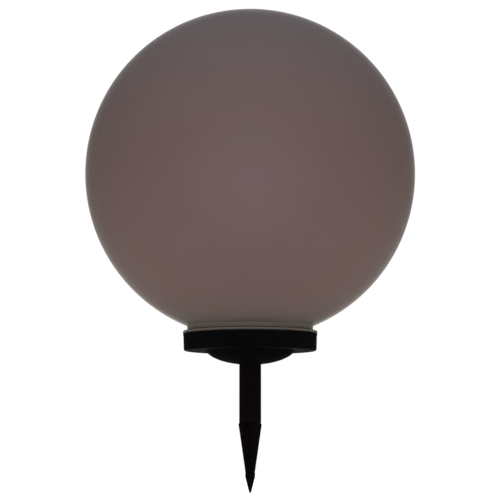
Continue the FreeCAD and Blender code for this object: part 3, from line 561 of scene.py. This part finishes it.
def coated(name, base, roughness, scale, dust=0.1, spread=0.08, bump=(0.2, 0.05), film=None, lines=False, **values):
    """A moulded, drawn or plated surface of one base colour, or a named setting, under a film of dust."""
    base = tuple(getattr(colours(), base) if isinstance(base, str) else base)
    finish = Finish(name, **{"Specular_IOR_Level": 0.4, **values})
    grain = finish.grain(scale, roughness, spread)
    film = film or tuple(channel * 0.7 + 0.02 for channel in base)
    finish.feed(Base_Color=finish.effect("Fine dust", Colour=base, Dust_colour=film, Amount=dust)["Colour"])
    finish.bump((finish.effect("Draw lines") if lines else grain)["Height"], *bump)
    return finish.material


def clear(name, scale, roughness, bump=0.0, **values):
    """A clear cast or moulded piece."""
    finish = Finish(name, **values)
    grain = finish.grain(scale, roughness, 0.03)
    if bump:
        finish.bump(grain["Height"], bump, 0.05)
    return finish.material


def smoked_plastic(name):
    """Smoke-tinted plastic, part milky: browner at a slant, greyer upwards under a painted pale reflection, darker and
    clearer in the neck.
    """
    finish = Finish(name, IOR=1.03, Transmission_Weight=0.56, Specular_IOR_Level=0.0)
    tree = finish.tree
    smoke = {"Colour": tuple(colours().smoke), "Dust_colour": (0.31, 0.24, 0.24), "Amount": 0.04, "Specks": 0.0}
    dusty = finish.effect("Fine dust", **smoke)["Colour"]
    facing = node(tree, "ShaderNodeLayerWeight", {"Blend": 0.5}).outputs["Facing"]
    slanted = tinted(tree, dusty, tint_ramp(tree, facing, SLANT_TINTS))
    height = node(tree, "ShaderNodeSeparateXYZ", {0: finish.place}).outputs["Z"]
    # Painted reflection: towards the top the colour turns paler and greyer, and it is dimmed at a slant
    rise = ranged(tree, height, (GLOBE_HIGH.z + GLOBE_LOW.z) / 2, GLOBE_HIGH.z, 0.0, 1.0)
    dulled = ranged(tree, facing, 0.3, 1.0, 1.0, 0.76)
    crown = tinted(tree, tinted(tree, dusty, CROWN_REFLECTION_TINT), dulled)
    upper = mixed(tree, maths(tree, "POWER", rise, 1.6), slanted, crown)
    neck = ranged(tree, height, GLOBE_LOW.z + NECK_FADE[0], GLOBE_LOW.z + NECK_FADE[1], 0.0, 1.0)
    neck = maths(tree, "POWER", neck, 1.8)
    grain = finish.grain(350.0, 0.16, 0.01)
    clearer = ranged(tree, neck, 0.0, 0.6, 1.0, 0.1)
    finish.feed(
        Base_Color=mixed(tree, neck, upper, tinted(tree, slanted, NECK_TINT)),
        Roughness=maths(tree, "MULTIPLY", grain["Roughness"], clearer),
    )
    return finish.material


def silicon_cells(name):
    """Blue multicrystalline silicon: flat grains of slightly different blue under the resin."""
    finish = Finish(name, Specular_IOR_Level=0.6, Roughness=0.25)
    tree = finish.tree
    grains = node(tree, "ShaderNodeTexVoronoi", {"Scale": 260.0, "Vector": finish.place})
    tone = node(tree, "ShaderNodeSeparateColor", {0: grains.outputs["Color"]}).outputs[0]
    red, green, blue = colours().silicon
    finish.feed(Base_Color=mixed(tree, tone, (red, green, blue), (red * 2.2, green * 2.2, blue * 2.0)))
    return finish.material


def clear_resin(name):
    return clear(name, 200.0, 0.05, 0.05, IOR=1.5, Transmission_Weight=1.0, Base_Color=(0.94, 0.95, 0.95))


def lamp_lens(name):
    return clear(name, 800.0, 0.06, IOR=1.53, Transmission_Weight=0.95, Base_Color=(0.95, 0.94, 0.90))


SOIL = (0.05, 0.045, 0.04)
BLACK = {"dust": 0.02, "spread": 0.07, "bump": (0.25, 0.06), "film": SOIL, "IOR": 1.5, "Specular_IOR_Level": 0.0004}
DRAWN = {**BLACK, "spread": 0.06, "bump": (0.3, 0.05), "lines": True}
RUBBER = {"spread": 0.05, "bump": (0.5, 0.1), "film": SOIL, "Specular_IOR_Level": 0.2}
PLATED = {"dust": 0.25, "spread": 0.12, "bump": (0.15, 0.04), "film": (0.3, 0.28, 0.25), "Specular_IOR_Level": 0.5}
SPECIAL = {
    "Smoked plastic": smoked_plastic,
    "Silicon cells": silicon_cells,
    "Clear resin": clear_resin,
    "Lamp lens": lamp_lens,
}
COATED = {
    # name: base colour or the setting that holds it, roughness, grains per metre, further values
    "Base black": ("black", 0.5, 1800.0, BLACK),
    "Spike black": ("spike_black", 0.5, 1200.0, BLACK),
    "Tube black": ("tube_black", 0.48, 2600.0, DRAWN),
    "Seal rubber": ("rubber", 0.75, 3000.0, RUBBER),
    "Button rubber": ("rubber", 0.75, 3000.0, RUBBER),
    "Plated steel": ("steel", 0.3, 4000.0, {**PLATED, "Metallic": 1.0}),
    "Silver print": ("silver", 0.35, 5000.0, {"dust": 0.15, "Specular_IOR_Level": 0.5, "Metallic": 0.9}),
    "Enamelled copper": ("copper", 0.3, 900.0, {"Specular_IOR_Level": 0.5, "Metallic": 0.8}),
    "Solder mask": ("mask", 0.3, 900.0, {"dust": 0.3, "Specular_IOR_Level": 0.5}),
    "Foam tape": ((0.03, 0.03, 0.03), 0.9, 1200.0, {"dust": 0.3, "Specular_IOR_Level": 0.1}),
    "White laminate": ("laminate", 0.4, 700.0, {"dust": 0.2}),
    "Battery sleeve": ("sleeve", 0.25, 600.0, {}),
    "Nylon": ("nylon", 0.45, 1200.0, {}),
    "Phosphor": ((0.75, 0.62, 0.12), 0.6, 4000.0, {}),
    "Component black": ((0.012, 0.012, 0.013), 0.5, 3000.0, {}),
    "Red wire": ("wire", 0.35, 2500.0, {}),
    "White wire": ((0.6, 0.6, 0.58), 0.35, 2500.0, {}),
    "Yellow wire": ((0.62, 0.42, 0.03), 0.35, 2500.0, {}),
}


def material(name):
    """The named material, built the first time."""
    if name in bpy.data.materials:
        return bpy.data.materials[name]
    if name in SPECIAL:
        return SPECIAL[name](name)
    base, roughness, scale, further = COATED[name]
    return coated(name, base, roughness, scale, **further)


# --- Pieces
class GLOBELIGHT_OT_globe(bpy.types.Operator):
    """Builds the smoked globe with its neck, lip, spigot and lugs"""

    bl_idname = "globe_light.globe"
    bl_label = "Globe"

    def execute(self, context):
        s = sizes()
        smoke = material("Smoked plastic")
        centre = GLOBE_HIGH.z - s.globe_radius
        lip_bottom = GASKET_HIGH.z + 0.1 * MM
        lip_top = lip_bottom + 3.7 * MM
        reach = s.globe_radius + s.neck_fillet
        fillet_radius = s.neck_radius + s.neck_fillet
        fillet = (fillet_radius, centre - math.sqrt(reach**2 - fillet_radius**2))
        meet = -math.degrees(math.acos(fillet_radius / reach))
        profile = arc_points((0, centre), s.globe_radius, 90, meet, 130)
        profile += arc_points(fillet, s.neck_fillet, 180 + meet, 180, 8)[1:]
        slope = math.tan(math.radians(14)) * (s.lip_radius - s.neck_radius)
        spigot_inner = s.spigot_radius - s.globe_wall
        neck_inner = s.neck_radius - s.globe_wall
        lip = [
            (s.neck_radius, fillet[1], 0),
            (s.neck_radius, lip_top, 0.3 * MM),
            (s.lip_radius, lip_top - slope, 1.7 * MM),
            (s.lip_radius, lip_bottom, 0.4 * MM),
            (s.spigot_radius, lip_bottom, 0.3 * MM),
            (s.spigot_radius, GLOBE_LOW.z, 0.5 * MM),
            (spigot_inner, GLOBE_LOW.z, 0.5 * MM),
            (spigot_inner, lip_bottom, 0.8 * MM),
            (neck_inner, lip_top, 0.8 * MM),
            (neck_inner, fillet[1], 0),
        ]
        profile += soft_outline(lip, 6)[1:-1]
        inner = s.globe_radius - s.globe_wall
        profile += arc_points((0, centre), inner, -math.degrees(math.acos(neck_inner / inner)), 90, 110)
        profile[0].x = profile[-1].x = 0
        shell = lathe("globe_shell", profile, s.segments, 40, closed=False)
        finished(shell, smoke, "globe", "smoked_globe", "globe")
        lug_root, lug_bottom, lug_top = s.spigot_radius - s.globe_wall / 2, 99.3 * MM, 101.7 * MM
        lug = arc_block("lug", lug_root, s.lug_tip, lug_bottom, lug_top, 26, 0.5 * MM)
        finished(ring_of("globe_lugs", lug, smoke, 3), smoke, "globe", "smoked_globe")
        return {"FINISHED"}


class GLOBELIGHT_OT_base_cup(bpy.types.Operator):
    """Builds the black ring with its flat underside, hooks and screw bosses"""

    bl_idname = "globe_light.base_cup"
    bl_label = "Base cup"

    def execute(self, context):
        s = sizes()
        black = material("Base black")
        low, high = CUP_LOW.z, CUP_HIGH.z
        floor = low + 2.4 * MM
        corners = [
            (s.cup_hole, low, 0.4 * MM),
            (s.cup_foot_radius, low, 1.9 * MM),
            (s.cup_top_radius, high - 2.0 * MM, 0.15 * MM),
            (s.cup_bead_radius, high - 1.6 * MM, 0.3 * MM),
            (s.cup_bead_radius, high, 0.45 * MM),
            (s.cup_inner, high, 0.4 * MM),
            (s.cup_inner, floor, 1.2 * MM),
            (s.cup_hole, floor, 0.3 * MM),
        ]
        parts = [lathe("base_cup_shell", soft_outline(corners, 6), s.segments, 50)]
        hook_root = s.cup_inner + 1.2 * MM
        for name, middle, bottom, top, degrees, edge in (
            ("hook_ledges", 0.0, 102.0, 104.6, 36, 0.4),
            ("locked_stops", -14.9, 99.0, 102.4, 3, 0.3),
            ("open_stops", 50.9, 99.0, 102.4, 3, 0.3),
        ):
            hook = arc_block("hook", s.hook_tip, hook_root, bottom * MM, top * MM, degrees, edge * MM)
            parts.append(ring_of(name, hook, black, 3, 0.0, middle))
        for name, outer, top, circle, first in (
            ("deck_bosses", 3.8 * MM, 94.2 * MM, 60.83 * MM, 45),
            ("flange_bosses", 3.2 * MM, 92.3 * MM, 60.33 * MM, 0),
        ):
            hole, root = 1.3 * MM, floor - 1.0 * MM
            corners = [(hole, root, 0), (outer, root, 0), (outer, top, 0.3 * MM), (hole, top, 0.2 * MM)]
            boss = lathe("boss", soft_outline(corners, 3), 32)
            parts.append(ring_of(name, boss, black, 4, circle, first))
        finished(merged("base_ring", parts), black, "lamp_head", "base_plastic", "base_cup")
        return {"FINISHED"}


class GLOBELIGHT_OT_seals(bpy.types.Operator):
    """Builds the rubber ring between the globe's lip and the base's rim"""

    bl_idname = "globe_light.seals"
    bl_label = "Seals"

    def execute(self, context):
        inner, edge = sizes().cup_inner + 0.5 * MM, 0.35 * MM
        outer, low, high = GASKET_HIGH.x, GASKET_LOW.z, GASKET_HIGH.z
        corners = [(inner, low, edge), (outer, low, edge), (outer, high, edge), (inner, high, edge)]
        gasket = lathe("globe_seal", soft_outline(corners, 4), sizes().segments, 60)
        finished(gasket, material("Seal rubber"), "lamp_head", "seal_rubber", "globe_gasket")
        return {"FINISHED"}


class GLOBELIGHT_OT_stake(bpy.types.Operator):
    """Builds the stake tube and the finned ground spike"""

    bl_idname = "globe_light.stake"
    bl_label = "Stake"

    def execute(self, context):
        s = sizes()
        inner, low, high = s.tube_radius - s.tube_wall, TUBE_LOW.z, TUBE_HIGH.z
        outer_edge, inner_edge = 0.45 * MM, 0.3 * MM
        corners = [
            (inner, low, inner_edge),
            (s.tube_radius, low, outer_edge),
            (s.tube_radius, high, outer_edge),
            (inner, high, inner_edge),
        ]
        tube = lathe("tube", soft_outline(corners, 5), 128, 60)
        finished(tube, material("Tube black"), "tube", "tube_plastic", "stake_tube")
        foot, top = SPIKE_LOW.z + 23.8 * MM, SPIKE_HIGH.z
        plug, fin_root, rod_radius = inner - 0.15 * MM, 1.0 * MM, 3.4 * MM
        outline = [
            (fin_root, foot),
            (s.fin_foot, foot),
            (s.fin_shoulder, -1.8 * MM),
            (s.fin_shoulder - 0.9 * MM, 0),
            (plug, 0),
            (plug, top - 1.2 * MM),
            (plug - 1.2 * MM, top),
            (fin_root, top),
        ]
        fin = plate("fin", outline, s.fin_thickness, 0.35 * MM)
        black = material("Spike black")
        fins = ring_of("fins", fin, black, 4, 0.0, math.degrees(s.fin_turn))
        middle = [(0, foot, 0), (rod_radius, foot, 0), (rod_radius, top, 0.4 * MM), (0, top, 0)]
        rod = lathe("core", soft_outline(middle, 4), 48, closed=False)
        point = stacked("point", spike_point_rings(foot, s.fin_turn - math.pi / 4), 30)
        finished(merged("spike", [fins, rod, point]), black, "spike", "spike_plastic", "ground_spike")
        return {"FINISHED"}


def spike_point_rings(foot, turn):
    """Level rounded squares from the bar under the fins down the pyramid to the rounded nose."""
    tip = SPIKE_LOW.z
    corner, end_corner, edge = 7.06 * MM, 1.6 * MM, 0.3 * MM
    shoulder, end = foot - 5.0 * MM, tip + 1.0 * MM
    levels = [(foot, corner - 0.35 * MM), (foot - edge, corner), (shoulder + edge, corner)]
    levels.append((shoulder - edge, corner - 0.1 * MM))
    for k in range(1, 7):
        part = k / 6
        levels.append((shoulder + (end - shoulder) * part, corner + (end_corner - corner) * part))
    for degrees in (25, 50, 70, 85):
        angle = math.radians(degrees)
        levels.append((end - (end - tip) * math.sin(angle), end_corner * math.cos(angle)))
    return [rounded_square(radius, height, turn) for height, radius in levels]


def rounded_square(corner_radius, height, turn, steps=5):
    """A level square with rounded corners over the fins."""
    rounding = 0.12 * corner_radius
    side = (corner_radius + rounding * (math.sqrt(2) - 1)) / math.sqrt(2)
    c, s = math.cos(turn), math.sin(turn)
    points = []
    for quarter in range(4):
        base = math.pi / 4 + quarter * math.pi / 2
        cx = (side - rounding) * math.sqrt(2) * math.cos(base)
        cy = (side - rounding) * math.sqrt(2) * math.sin(base)
        for k in range(steps + 1):
            angle = base - math.pi / 4 + math.pi / 2 * k / steps
            x, y = cx + rounding * math.cos(angle), cy + rounding * math.sin(angle)
            points.append((x * c - y * s, x * s + y * c, height))
    return points


class GLOBELIGHT_OT_solar_panel(bpy.types.Operator):
    """Builds the printed silver on the solar cells and the clear resin over them"""

    bl_idname = "globe_light.solar_panel"
    bl_label = "Solar panel"

    def execute(self, context):
        s = sizes()
        silver = material("Silver print")
        field = s.panel_radius - 7.0 * MM
        gap, pitch, margin = 1.4 * MM, 2.2 * MM, 1.0 * MM
        width = (2 * field - 3 * gap) / 4
        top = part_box("panel_cells")[1].z
        bars = []
        for i in range(4):
            x = -field + width / 2 + i * (width + gap)
            half = math.sqrt((s.panel_radius - 0.8 * MM) ** 2 - (abs(x) + width / 2) ** 2)
            gaps = int(2 * (half - margin) / pitch)
            finger = (width - 1.6 * MM, 0.14 * MM, 0.03 * MM)
            busbar = (1.3 * MM, 2 * half - margin, 0.06 * MM)
            first = (x, -gaps * pitch / 2, top + 0.01 * MM)
            bars.append(row_of("fingers", silver, gaps + 1, pitch, finger, first))
            bars.append(row_of("busbar", silver, 1, pitch, busbar, (x, 0.0, top + 0.02 * MM)))
        finished(merged("cell_print", bars), silver, "lamp_head", "contact_steel")
        radius, low, high = s.panel_radius, RESIN_LOW.z, RESIN_HIGH.z
        cover = soft_outline([(0, low, 0), (radius, low, 0), (radius, high, 0.9 * MM), (0, high, 0)], 6)
        resin = lathe("panel_cover", cover, 160, closed=False)
        finished(resin, material("Clear resin"), "lamp_head", "clear_resin", "panel_resin")
        return {"FINISHED"}


class GLOBELIGHT_OT_lamps(bpy.types.Operator):
    """Builds the round lamps: clear lens, reflector cup and chip"""

    bl_idname = "globe_light.lamps"
    bl_label = "Lamps"

    def execute(self, context):
        s = sizes()
        low, radius = LAMPS_LOW.z, 2.5 * MM
        profile = soft_outline(raised(low, (0, 0, 0), (2.9, 0, 0.15), (2.9, 1.0, 0.15), (2.5, 1.0, 0)))
        profile += arc_points((0, LAMPS_HIGH.z - radius), radius, 0, 90, 14)
        profile[-1].x = 0
        lens = lathe("lens", profile, 40, 50, closed=False)
        dish = raised(low, (0, 1.2, 0), (1.5, 1.2, 0.1), (1.5, 3.0, 0.05), (1.3, 3.0, 0.05))
        dish += raised(low, (0.6, 2.3, 0.05), (0, 2.3, 0))
        cup = lathe("cup", soft_outline(dish, 3), 32, closed=False)
        chip = stacked("chip", [level_ring(0.5 * MM, low + height * MM, 8, 4) for height in (2.25, 2.6)])
        for name, template, finish, slot, nodes in (
            ("lamp_lenses", lens, "Lamp lens", "lamp_lens", ["lamps"]),
            ("lamp_cups", cup, "Plated steel", "contact_steel", []),
            ("lamp_chips", chip, "Phosphor", "lamp_lens", []),
        ):
            ring = ring_of(name, template, material(finish), s.lamp_count, s.lamp_circle)
            finished(ring, material(finish), "lamp_head", slot, *nodes)
        return {"FINISHED"}


def screw_template(head, head_height, shank, bite, seat, facing):
    """A screw on the z axis: rounded head with a hexagon socket, and a shank with a rolled thread."""
    top, drive, drive_depth, pitch = head_height, min(1.2 * MM, head / 2), 0.8 * MM, 0.8 * MM
    socket = [(drive, top - drive_depth), (drive, top - 0.1 * top), (drive * 1.1, top)]
    levels = [(head * 0.80, top), (head * 0.94, top - 0.12 * top), (head, top - 0.35 * top), (head, 0.08 * top)]
    levels += [(head * 0.97, 0.0), (shank, 0.0)]
    for k in range(int((bite - 1.2 * MM) / pitch)):
        start = -0.3 * MM - k * pitch
        levels += [(shank * width, start - down * pitch) for width, down in ((0.84, 0.3), (1.0, 0.5), (0.84, 0.7))]
    levels += [(shank * 0.75, -bite + 0.4 * MM), (shank * 0.35, -bite)]
    rings = [level_ring(r, z, 24, 6) for r, z in socket] + [level_ring(r, z) for r, z in levels]
    piece = stacked("screw", rings, 40)
    if facing < 0:
        placed(piece, Matrix.Rotation(math.pi, 4, "X"))
    return placed(piece, Matrix.Translation((0, 0, seat)))


def screw_circle(node_name, low, high, head):
    """The radius of the circle that a node's screws stand on, read from its CAD box."""
    if node_name == "deck_screws":
        return (high.x - head) * math.sqrt(2)
    if node_name == "flange_screws":
        return high.x - head
    return (-low.y if node_name == "ring_board_screws" else high.y) - head


class GLOBELIGHT_OT_screws(bpy.types.Operator):
    """Builds every screw: deck, flange, ring board, battery holder and controller board"""

    bl_idname = "globe_light.screws"
    bl_label = "Screws"

    def execute(self, context):
        steel = material("Plated steel")
        # Head radius, head height and shank radius
        large, pan, small = mm((3.0, 2.0, 1.25), (4.6, 1.3, 1.25), (1.9, 1.3, 0.9))
        for node_name, form, copies, first, facing in (
            ("deck_screws", large, 4, 45, 1),
            ("flange_screws", pan, 4, 0, 1),
            ("ring_board_screws", small, 3, 30, -1),
            ("holder_screws", small, 2, 90, 1),
            ("board_screws", small, 2, 90, 1),
        ):
            head, head_height, _ = form
            low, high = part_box(node_name)
            seat = high.z - head_height if facing > 0 else low.z + head_height
            bite = seat - low.z if facing > 0 else high.z - seat
            centre = (((low + high) / 2).x, 0, 0) if node_name == "board_screws" else (0, 0, 0)
            circle = screw_circle(node_name, low, high, head)
            template = screw_template(*form, bite, seat, facing)
            piece = ring_of(node_name + "_made", template, steel, copies, circle, first, centre)
            finished(piece, steel, "lamp_head", "screw_steel", node_name)
        return {"FINISHED"}


class GLOBELIGHT_OT_switch(bpy.types.Operator):
    """Builds the push button and the hexagon nut in the dome's well"""

    bl_idname = "globe_light.switch"
    bl_label = "Switch"

    def execute(self, context):
        middle = (BUTTON_LOW + BUTTON_HIGH) / 2
        place = Matrix.Translation((middle.x, middle.y, 0))
        low, radius, edge = BUTTON_LOW.z, 3.3 * MM, 0.7 * MM
        profile = soft_outline(raised(low, (0, 0.35, 0), (1.1, 0.3, 0), (1.9, 0.1, 0), (2.3, 0, 0)))
        profile += arc_points((radius - edge, low + edge), edge, -80, 0, 6)
        profile += soft_outline(raised(low, (3.3, 1.9, 0), (3.0, 2.2, 0), (2.2, 2.2, 0)))
        profile += soft_outline(raised(BUTTON_HIGH.z, (2.2, 0, 0), (0, 0, 0)))
        button = placed(lathe("push_button", profile, 48, 40, closed=False), place)
        finished(button, material("Button rubber"), "button", "button_rubber", "switch_button")
        bottom, top = NUT_LOW.z, NUT_HIGH.z
        corner, land = 5.0 * MM / math.cos(math.pi / 6), 4.75 * MM
        bore, chamfer = 3.55 * MM, 0.35 * MM
        rings = [
            level_ring(bore + 0.15 * MM, bottom, 48),
            level_ring(land, bottom, 48),
            level_ring(corner, bottom + chamfer, 48, 6),
            level_ring(corner, top - chamfer, 48, 6),
            level_ring(land, top, 48),
            level_ring(bore + 0.15 * MM, top, 48),
            level_ring(bore, top - 0.2 * MM, 48),
            level_ring(bore, bottom + 0.2 * MM, 48),
        ]
        nut = placed(stacked("nut", rings, 30, closed=True), place)
        finished(nut, material("Plated steel"), "lamp_head", "contact_steel", "switch_nut")
        return {"FINISHED"}


class GLOBELIGHT_OT_battery(bpy.types.Operator):
    """Builds the battery cell: its steel can with the contact button and the shrink sleeve over it"""

    bl_idname = "globe_light.battery"
    bl_label = "Battery"

    def execute(self, context):
        low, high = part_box("battery_cell")
        radius, whole = high.x, high.y - low.y
        body, inner = whole - 1.3 * MM, radius - 0.14 * MM

        def groove(wall):
            """The groove rolled into a wall of that radius."""
            edge = 0.3 * MM
            middle = (wall - 0.4 * MM, body - 2.8 * MM, edge)
            return [(wall, body - 3.5 * MM, edge), middle, (wall, body - 2.1 * MM, edge)]

        sleeve = [(5.6 * MM, 0.12 * MM, 0), (radius, 0.12 * MM, 0.6 * MM), *groove(radius), (radius, body, 0.6 * MM)]
        sleeve += raised(body, (5.3, 0, 0), (5.3, -0.14, 0))
        sleeve += [(inner, body - 0.14 * MM, 0.5 * MM), *groove(inner)[::-1]]
        sleeve += [(inner, 0.26 * MM, 0.5 * MM), (5.6 * MM, 0.26 * MM, 0)]
        wall = inner - 0.02 * MM
        can = raised(0, (0, 0, 0), (4.8, 0, 0.25), (5.2, 0.3, 0.1))
        can += [(wall, 0.3 * MM, 0.5 * MM), *groove(wall), (wall, body - 0.18 * MM, 0.5 * MM)]
        can += raised(body, (4.4, -0.18, 0.1), (4.2, -0.5, 0.1), (2.8, -0.5, 0.1))
        can += raised(whole, (2.8, 0, 0.4), (0, 0, 0))
        lie = Matrix.Translation((0, low.y, (low.z + high.z) / 2)) @ Matrix.Rotation(-math.pi / 2, 4, "X")
        for name, outline, closed, finish, slot, nodes in (
            ("battery_sleeve", sleeve, True, "Battery sleeve", "cell_sleeve", ["battery_cell"]),
            ("battery_can", can, False, "Plated steel", "contact_steel", []),
        ):
            piece = placed(lathe(name, soft_outline(outline, 4), 96, closed=closed), lie)
            finished(piece, material(finish), "lamp_head", slot, *nodes)
        return {"FINISHED"}


class GLOBELIGHT_OT_board_parts(bpy.types.Operator):
    """Builds the chip, coil, capacitor and four plugged connectors on the controller board"""

    bl_idname = "globe_light.board_parts"
    bl_label = "Board parts"

    def execute(self, context):
        low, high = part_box("board_components")
        board_low, board_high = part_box("controller_board")
        base, top, middle = low.z, high.z, (board_low.x + board_high.x) / 2
        side = middle + (board_high.x - board_low.x) / 4
        steel = material("Plated steel")
        coil_place = Matrix.Translation((side, -5.5 * MM, 0))
        can_place = Matrix.Translation((side, -14.5 * MM, 0))

        def turned(name, corners, place):
            """A small part turned about its own axis."""
            return placed(lathe(name, soft_outline(corners, 3), 48, closed=False), place)

        drum = raised(base, (0, 0, 0), (3.4, 0, 0.15), (3.4, 0.8, 0.15), (1.6, 0.8, 0))
        drum += raised(base, (1.6, 3.4, 0), (3.4, 3.4, 0.15), (3.4, 4.2, 0.2), (0, 4.2, 0))
        can = raised(base, (0, 0, 0), (2.5, 0, 0.2), (2.5, 0.8, 0.15), (2.25, 1.1, 0.15), (2.5, 1.4, 0.15))
        can += raised(top, (2.5, 0, 0.35), (1.9, 0, 0), (1.9, -0.15, 0), (0, -0.15, 0))
        bodies = [
            block("chip", *mm((3.8, 5.8, 1.35)), (middle, 0, base + 0.9 * MM), 0.15 * MM),
            turned("drum", drum, coil_place),
            turned("capacitor", can, can_place),
        ]
        black = material("Component black")
        finished(merged("board_bodies", bodies), black, "lamp_head", "component_black", "board_components")
        turns = soft_outline(raised(base, (1.62, 0.84, 0)))
        for k in range(6):
            turns += arc_points((2.7 * MM, base + (1.05 + 0.42 * k) * MM), 0.21 * MM, -75, 75, 5)
        turns += soft_outline(raised(base, (1.62, 3.36, 0)))
        winding = placed(lathe("coil_winding", turns, 48), coil_place)
        finished(winding, material("Enamelled copper"), "lamp_head", "component_black")
        metal = []
        pitch = 1.27 * MM
        for out in (-1, 1):
            for x, z, size in ((2.2, 0.1, (0.6, 0.4, 0.16)), (1.98, 0.45, (0.16, 0.4, 0.7))):
                first = (middle + out * x * MM, -1.5 * pitch, base + z * MM)
                metal.append(row_of("legs", steel, 4, pitch, *mm(size), first))
        lid = raised(top, (0, -0.14, 0), (1.85, -0.14, 0), (1.7, -0.04, 0), (0, -0.04, 0))
        metal.append(turned("lid", lid, can_place))
        finished(merged("board_metal", metal), steel, "lamp_head", "contact_steel")
        near, far, end = low.x + 3.0 * MM, high.x - 3.0 * MM, high.y - 3.75 * MM
        housings = []
        for x, y in ((near, end - 7.9 * MM), (near, end), (near, -end), (far, 5.3 * MM)):
            for name, size, height, edge in (
                ("header", (6.0, 7.5, 4.2), 2.1, 0.3),
                ("plug", (4.4, 6.1, 2.4), 4.4, 0.35),
                ("latch", (5.9, 2.2, 3.6), 3.0, 0.25),
            ):
                housings.append(block(name, *mm(size), (x, y, base + height * MM), edge * MM))
        finished(merged("board_connectors", housings), material("Nylon"), "lamp_head", "component_black")
        return {"FINISHED"}


class GLOBELIGHT_OT_inner_parts(bpy.types.Operator):
    """Gives the pieces that keep their CAD shape their materials"""

    bl_idname = "globe_light.inner_parts"
    bl_label = "Inner parts"

    def execute(self, context):
        for name, nodes in {
            "Base black": ("stake_dome", "stake_socket", "lamp_deck"),
            "Seal rubber": ("dome_seal", "switch_seal"),
            "Foam tape": ("panel_tape",),
            "White laminate": ("panel_backing",),
            "Silicon cells": ("panel_cells",),
            "Solder mask": ("ring_board", "controller_board"),
            "Component black": ("battery_holder", "switch_body"),
            "Plated steel": ("battery_contacts",),
            "Red wire": ("panel_wires", "battery_wires"),
            "White wire": ("switch_wires",),
            "Yellow wire": ("lamp_wires",),
        }.items():
            for node_name in nodes:
                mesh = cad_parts[node_name].data
                mesh.materials.clear()
                mesh.materials.append(material(name))
        return {"FINISHED"}


# --- Stage
class GLOBELIGHT_OT_stage(bpy.types.Operator):
    """Sets the pale floor, the soft studio light, the white surroundings and the camera"""

    bl_idname = "globe_light.stage"
    bl_label = "Stage"

    def execute(self, context):
        scene = context.scene
        scene.view_settings.view_transform = "Standard"
        self.floor()
        self.world(scene)
        for lamp in STAGE_LAMPS:
            self.light(scene, *lamp)
        camera = bpy.data.objects.new("camera", bpy.data.cameras.new("camera"))
        scene.collection.objects.link(camera)
        camera.location = CAMERA_PLACE
        camera.rotation_euler = (math.radians(90 + CAMERA_TILT), 0, 0)
        camera.data.sensor_width = CAMERA_SENSOR
        camera.data.lens = CAMERA_LENS
        camera.data.clip_end = 200.0
        scene.camera = camera
        return {"FINISHED"}

    def floor(self):
        bm = bmesh.new()
        bmesh.ops.create_grid(bm, x_segments=1, y_segments=1, size=60.0)
        floor = placed(object_from(bm, "floor"), Matrix.Translation((0, 0, SPIKE_LOW.z)))
        pale = Finish("Pale floor", Base_Color=(0.88, 0.88, 0.88), Roughness=0.9, Specular_IOR_Level=0.0)
        glow = maths(pale.tree, "MULTIPLY", seen_rays(pale.tree), 0.6)
        pale.feed(Emission_Color=WHITE, Emission_Strength=glow)
        floor.data.materials.append(pale.material)

    def world(self, scene):
        scene.world = bpy.data.worlds.new("White surroundings")
        scene.world.use_nodes = True
        tree = scene.world.node_tree
        background = next(n for n in tree.nodes if n.type == "BACKGROUND")
        put(tree, background.inputs["Color"], WHITE)
        put(tree, background.inputs["Strength"], ranged(tree, seen_rays(tree), 0.0, 1.0, 0.92, 1.01))

    def light(self, scene, name, place, target, size, watts, tint):
        data = bpy.data.lights.new(name, "AREA")
        data.color, data.size, data.energy = tint, size, watts
        lamp = bpy.data.objects.new(name, data)
        scene.collection.objects.link(lamp)
        lamp.location = place
        lamp.visible_camera = lamp.visible_glossy = lamp.visible_transmission = False
        lamp.rotation_euler = (Vector(target) - Vector(place)).to_track_quat("-Z", "Y").to_euler()


def seen_rays(tree):
    """1 for camera, glossy and transmission rays, 0 for the rays that light the object."""
    path = tree.nodes.new("ShaderNodeLightPath").outputs
    first = maths(tree, "MAXIMUM", path["Is Camera Ray"], path["Is Glossy Ray"])
    return maths(tree, "MAXIMUM", first, path["Is Transmission Ray"])


class GLOBELIGHT_PT_panel(bpy.types.Panel):
    bl_label = "Globe Light"
    bl_idname = "GLOBELIGHT_PT_panel"
    bl_space_type = "VIEW_3D"
    bl_region_type = "UI"
    bl_category = "Globe Light"

    def draw(self, context):
        for group in (sizes(), colours()):
            box = self.layout.box()
            for name in group.bl_rna.properties.keys():
                if name not in ("rna_type", "name"):
                    box.prop(group, name)
        for operator in OPERATORS:
            self.layout.operator(operator.bl_idname)


OPERATORS = (
    GLOBELIGHT_OT_globe,
    GLOBELIGHT_OT_base_cup,
    GLOBELIGHT_OT_seals,
    GLOBELIGHT_OT_stake,
    GLOBELIGHT_OT_solar_panel,
    GLOBELIGHT_OT_lamps,
    GLOBELIGHT_OT_screws,
    GLOBELIGHT_OT_switch,
    GLOBELIGHT_OT_battery,
    GLOBELIGHT_OT_board_parts,
    GLOBELIGHT_OT_inner_parts,
    GLOBELIGHT_OT_stage,
)
CLASSES = (GlobeLightSizes, GlobeLightColours, *OPERATORS, GLOBELIGHT_PT_panel)


def register():
    for cls in CLASSES:
        bpy.utils.register_class(cls)
    bpy.types.Scene.globe_light_sizes = bpy.props.PointerProperty(type=GlobeLightSizes)
    bpy.types.Scene.globe_light_colours = bpy.props.PointerProperty(type=GlobeLightColours)


def unregister():
    del bpy.types.Scene.globe_light_colours
    del bpy.types.Scene.globe_light_sizes
    for cls in reversed(CLASSES):
        bpy.utils.unregister_class(cls)


def main():
    register()
    steps = bpy.ops.globe_light
    steps.globe()
    steps.base_cup()
    steps.seals()
    steps.stake()
    steps.solar_panel()
    steps.lamps()
    steps.screws()
    steps.switch()
    steps.battery()
    steps.board_parts()
    steps.inner_parts()
    steps.stage()


if __name__ == "__main__":
    main()
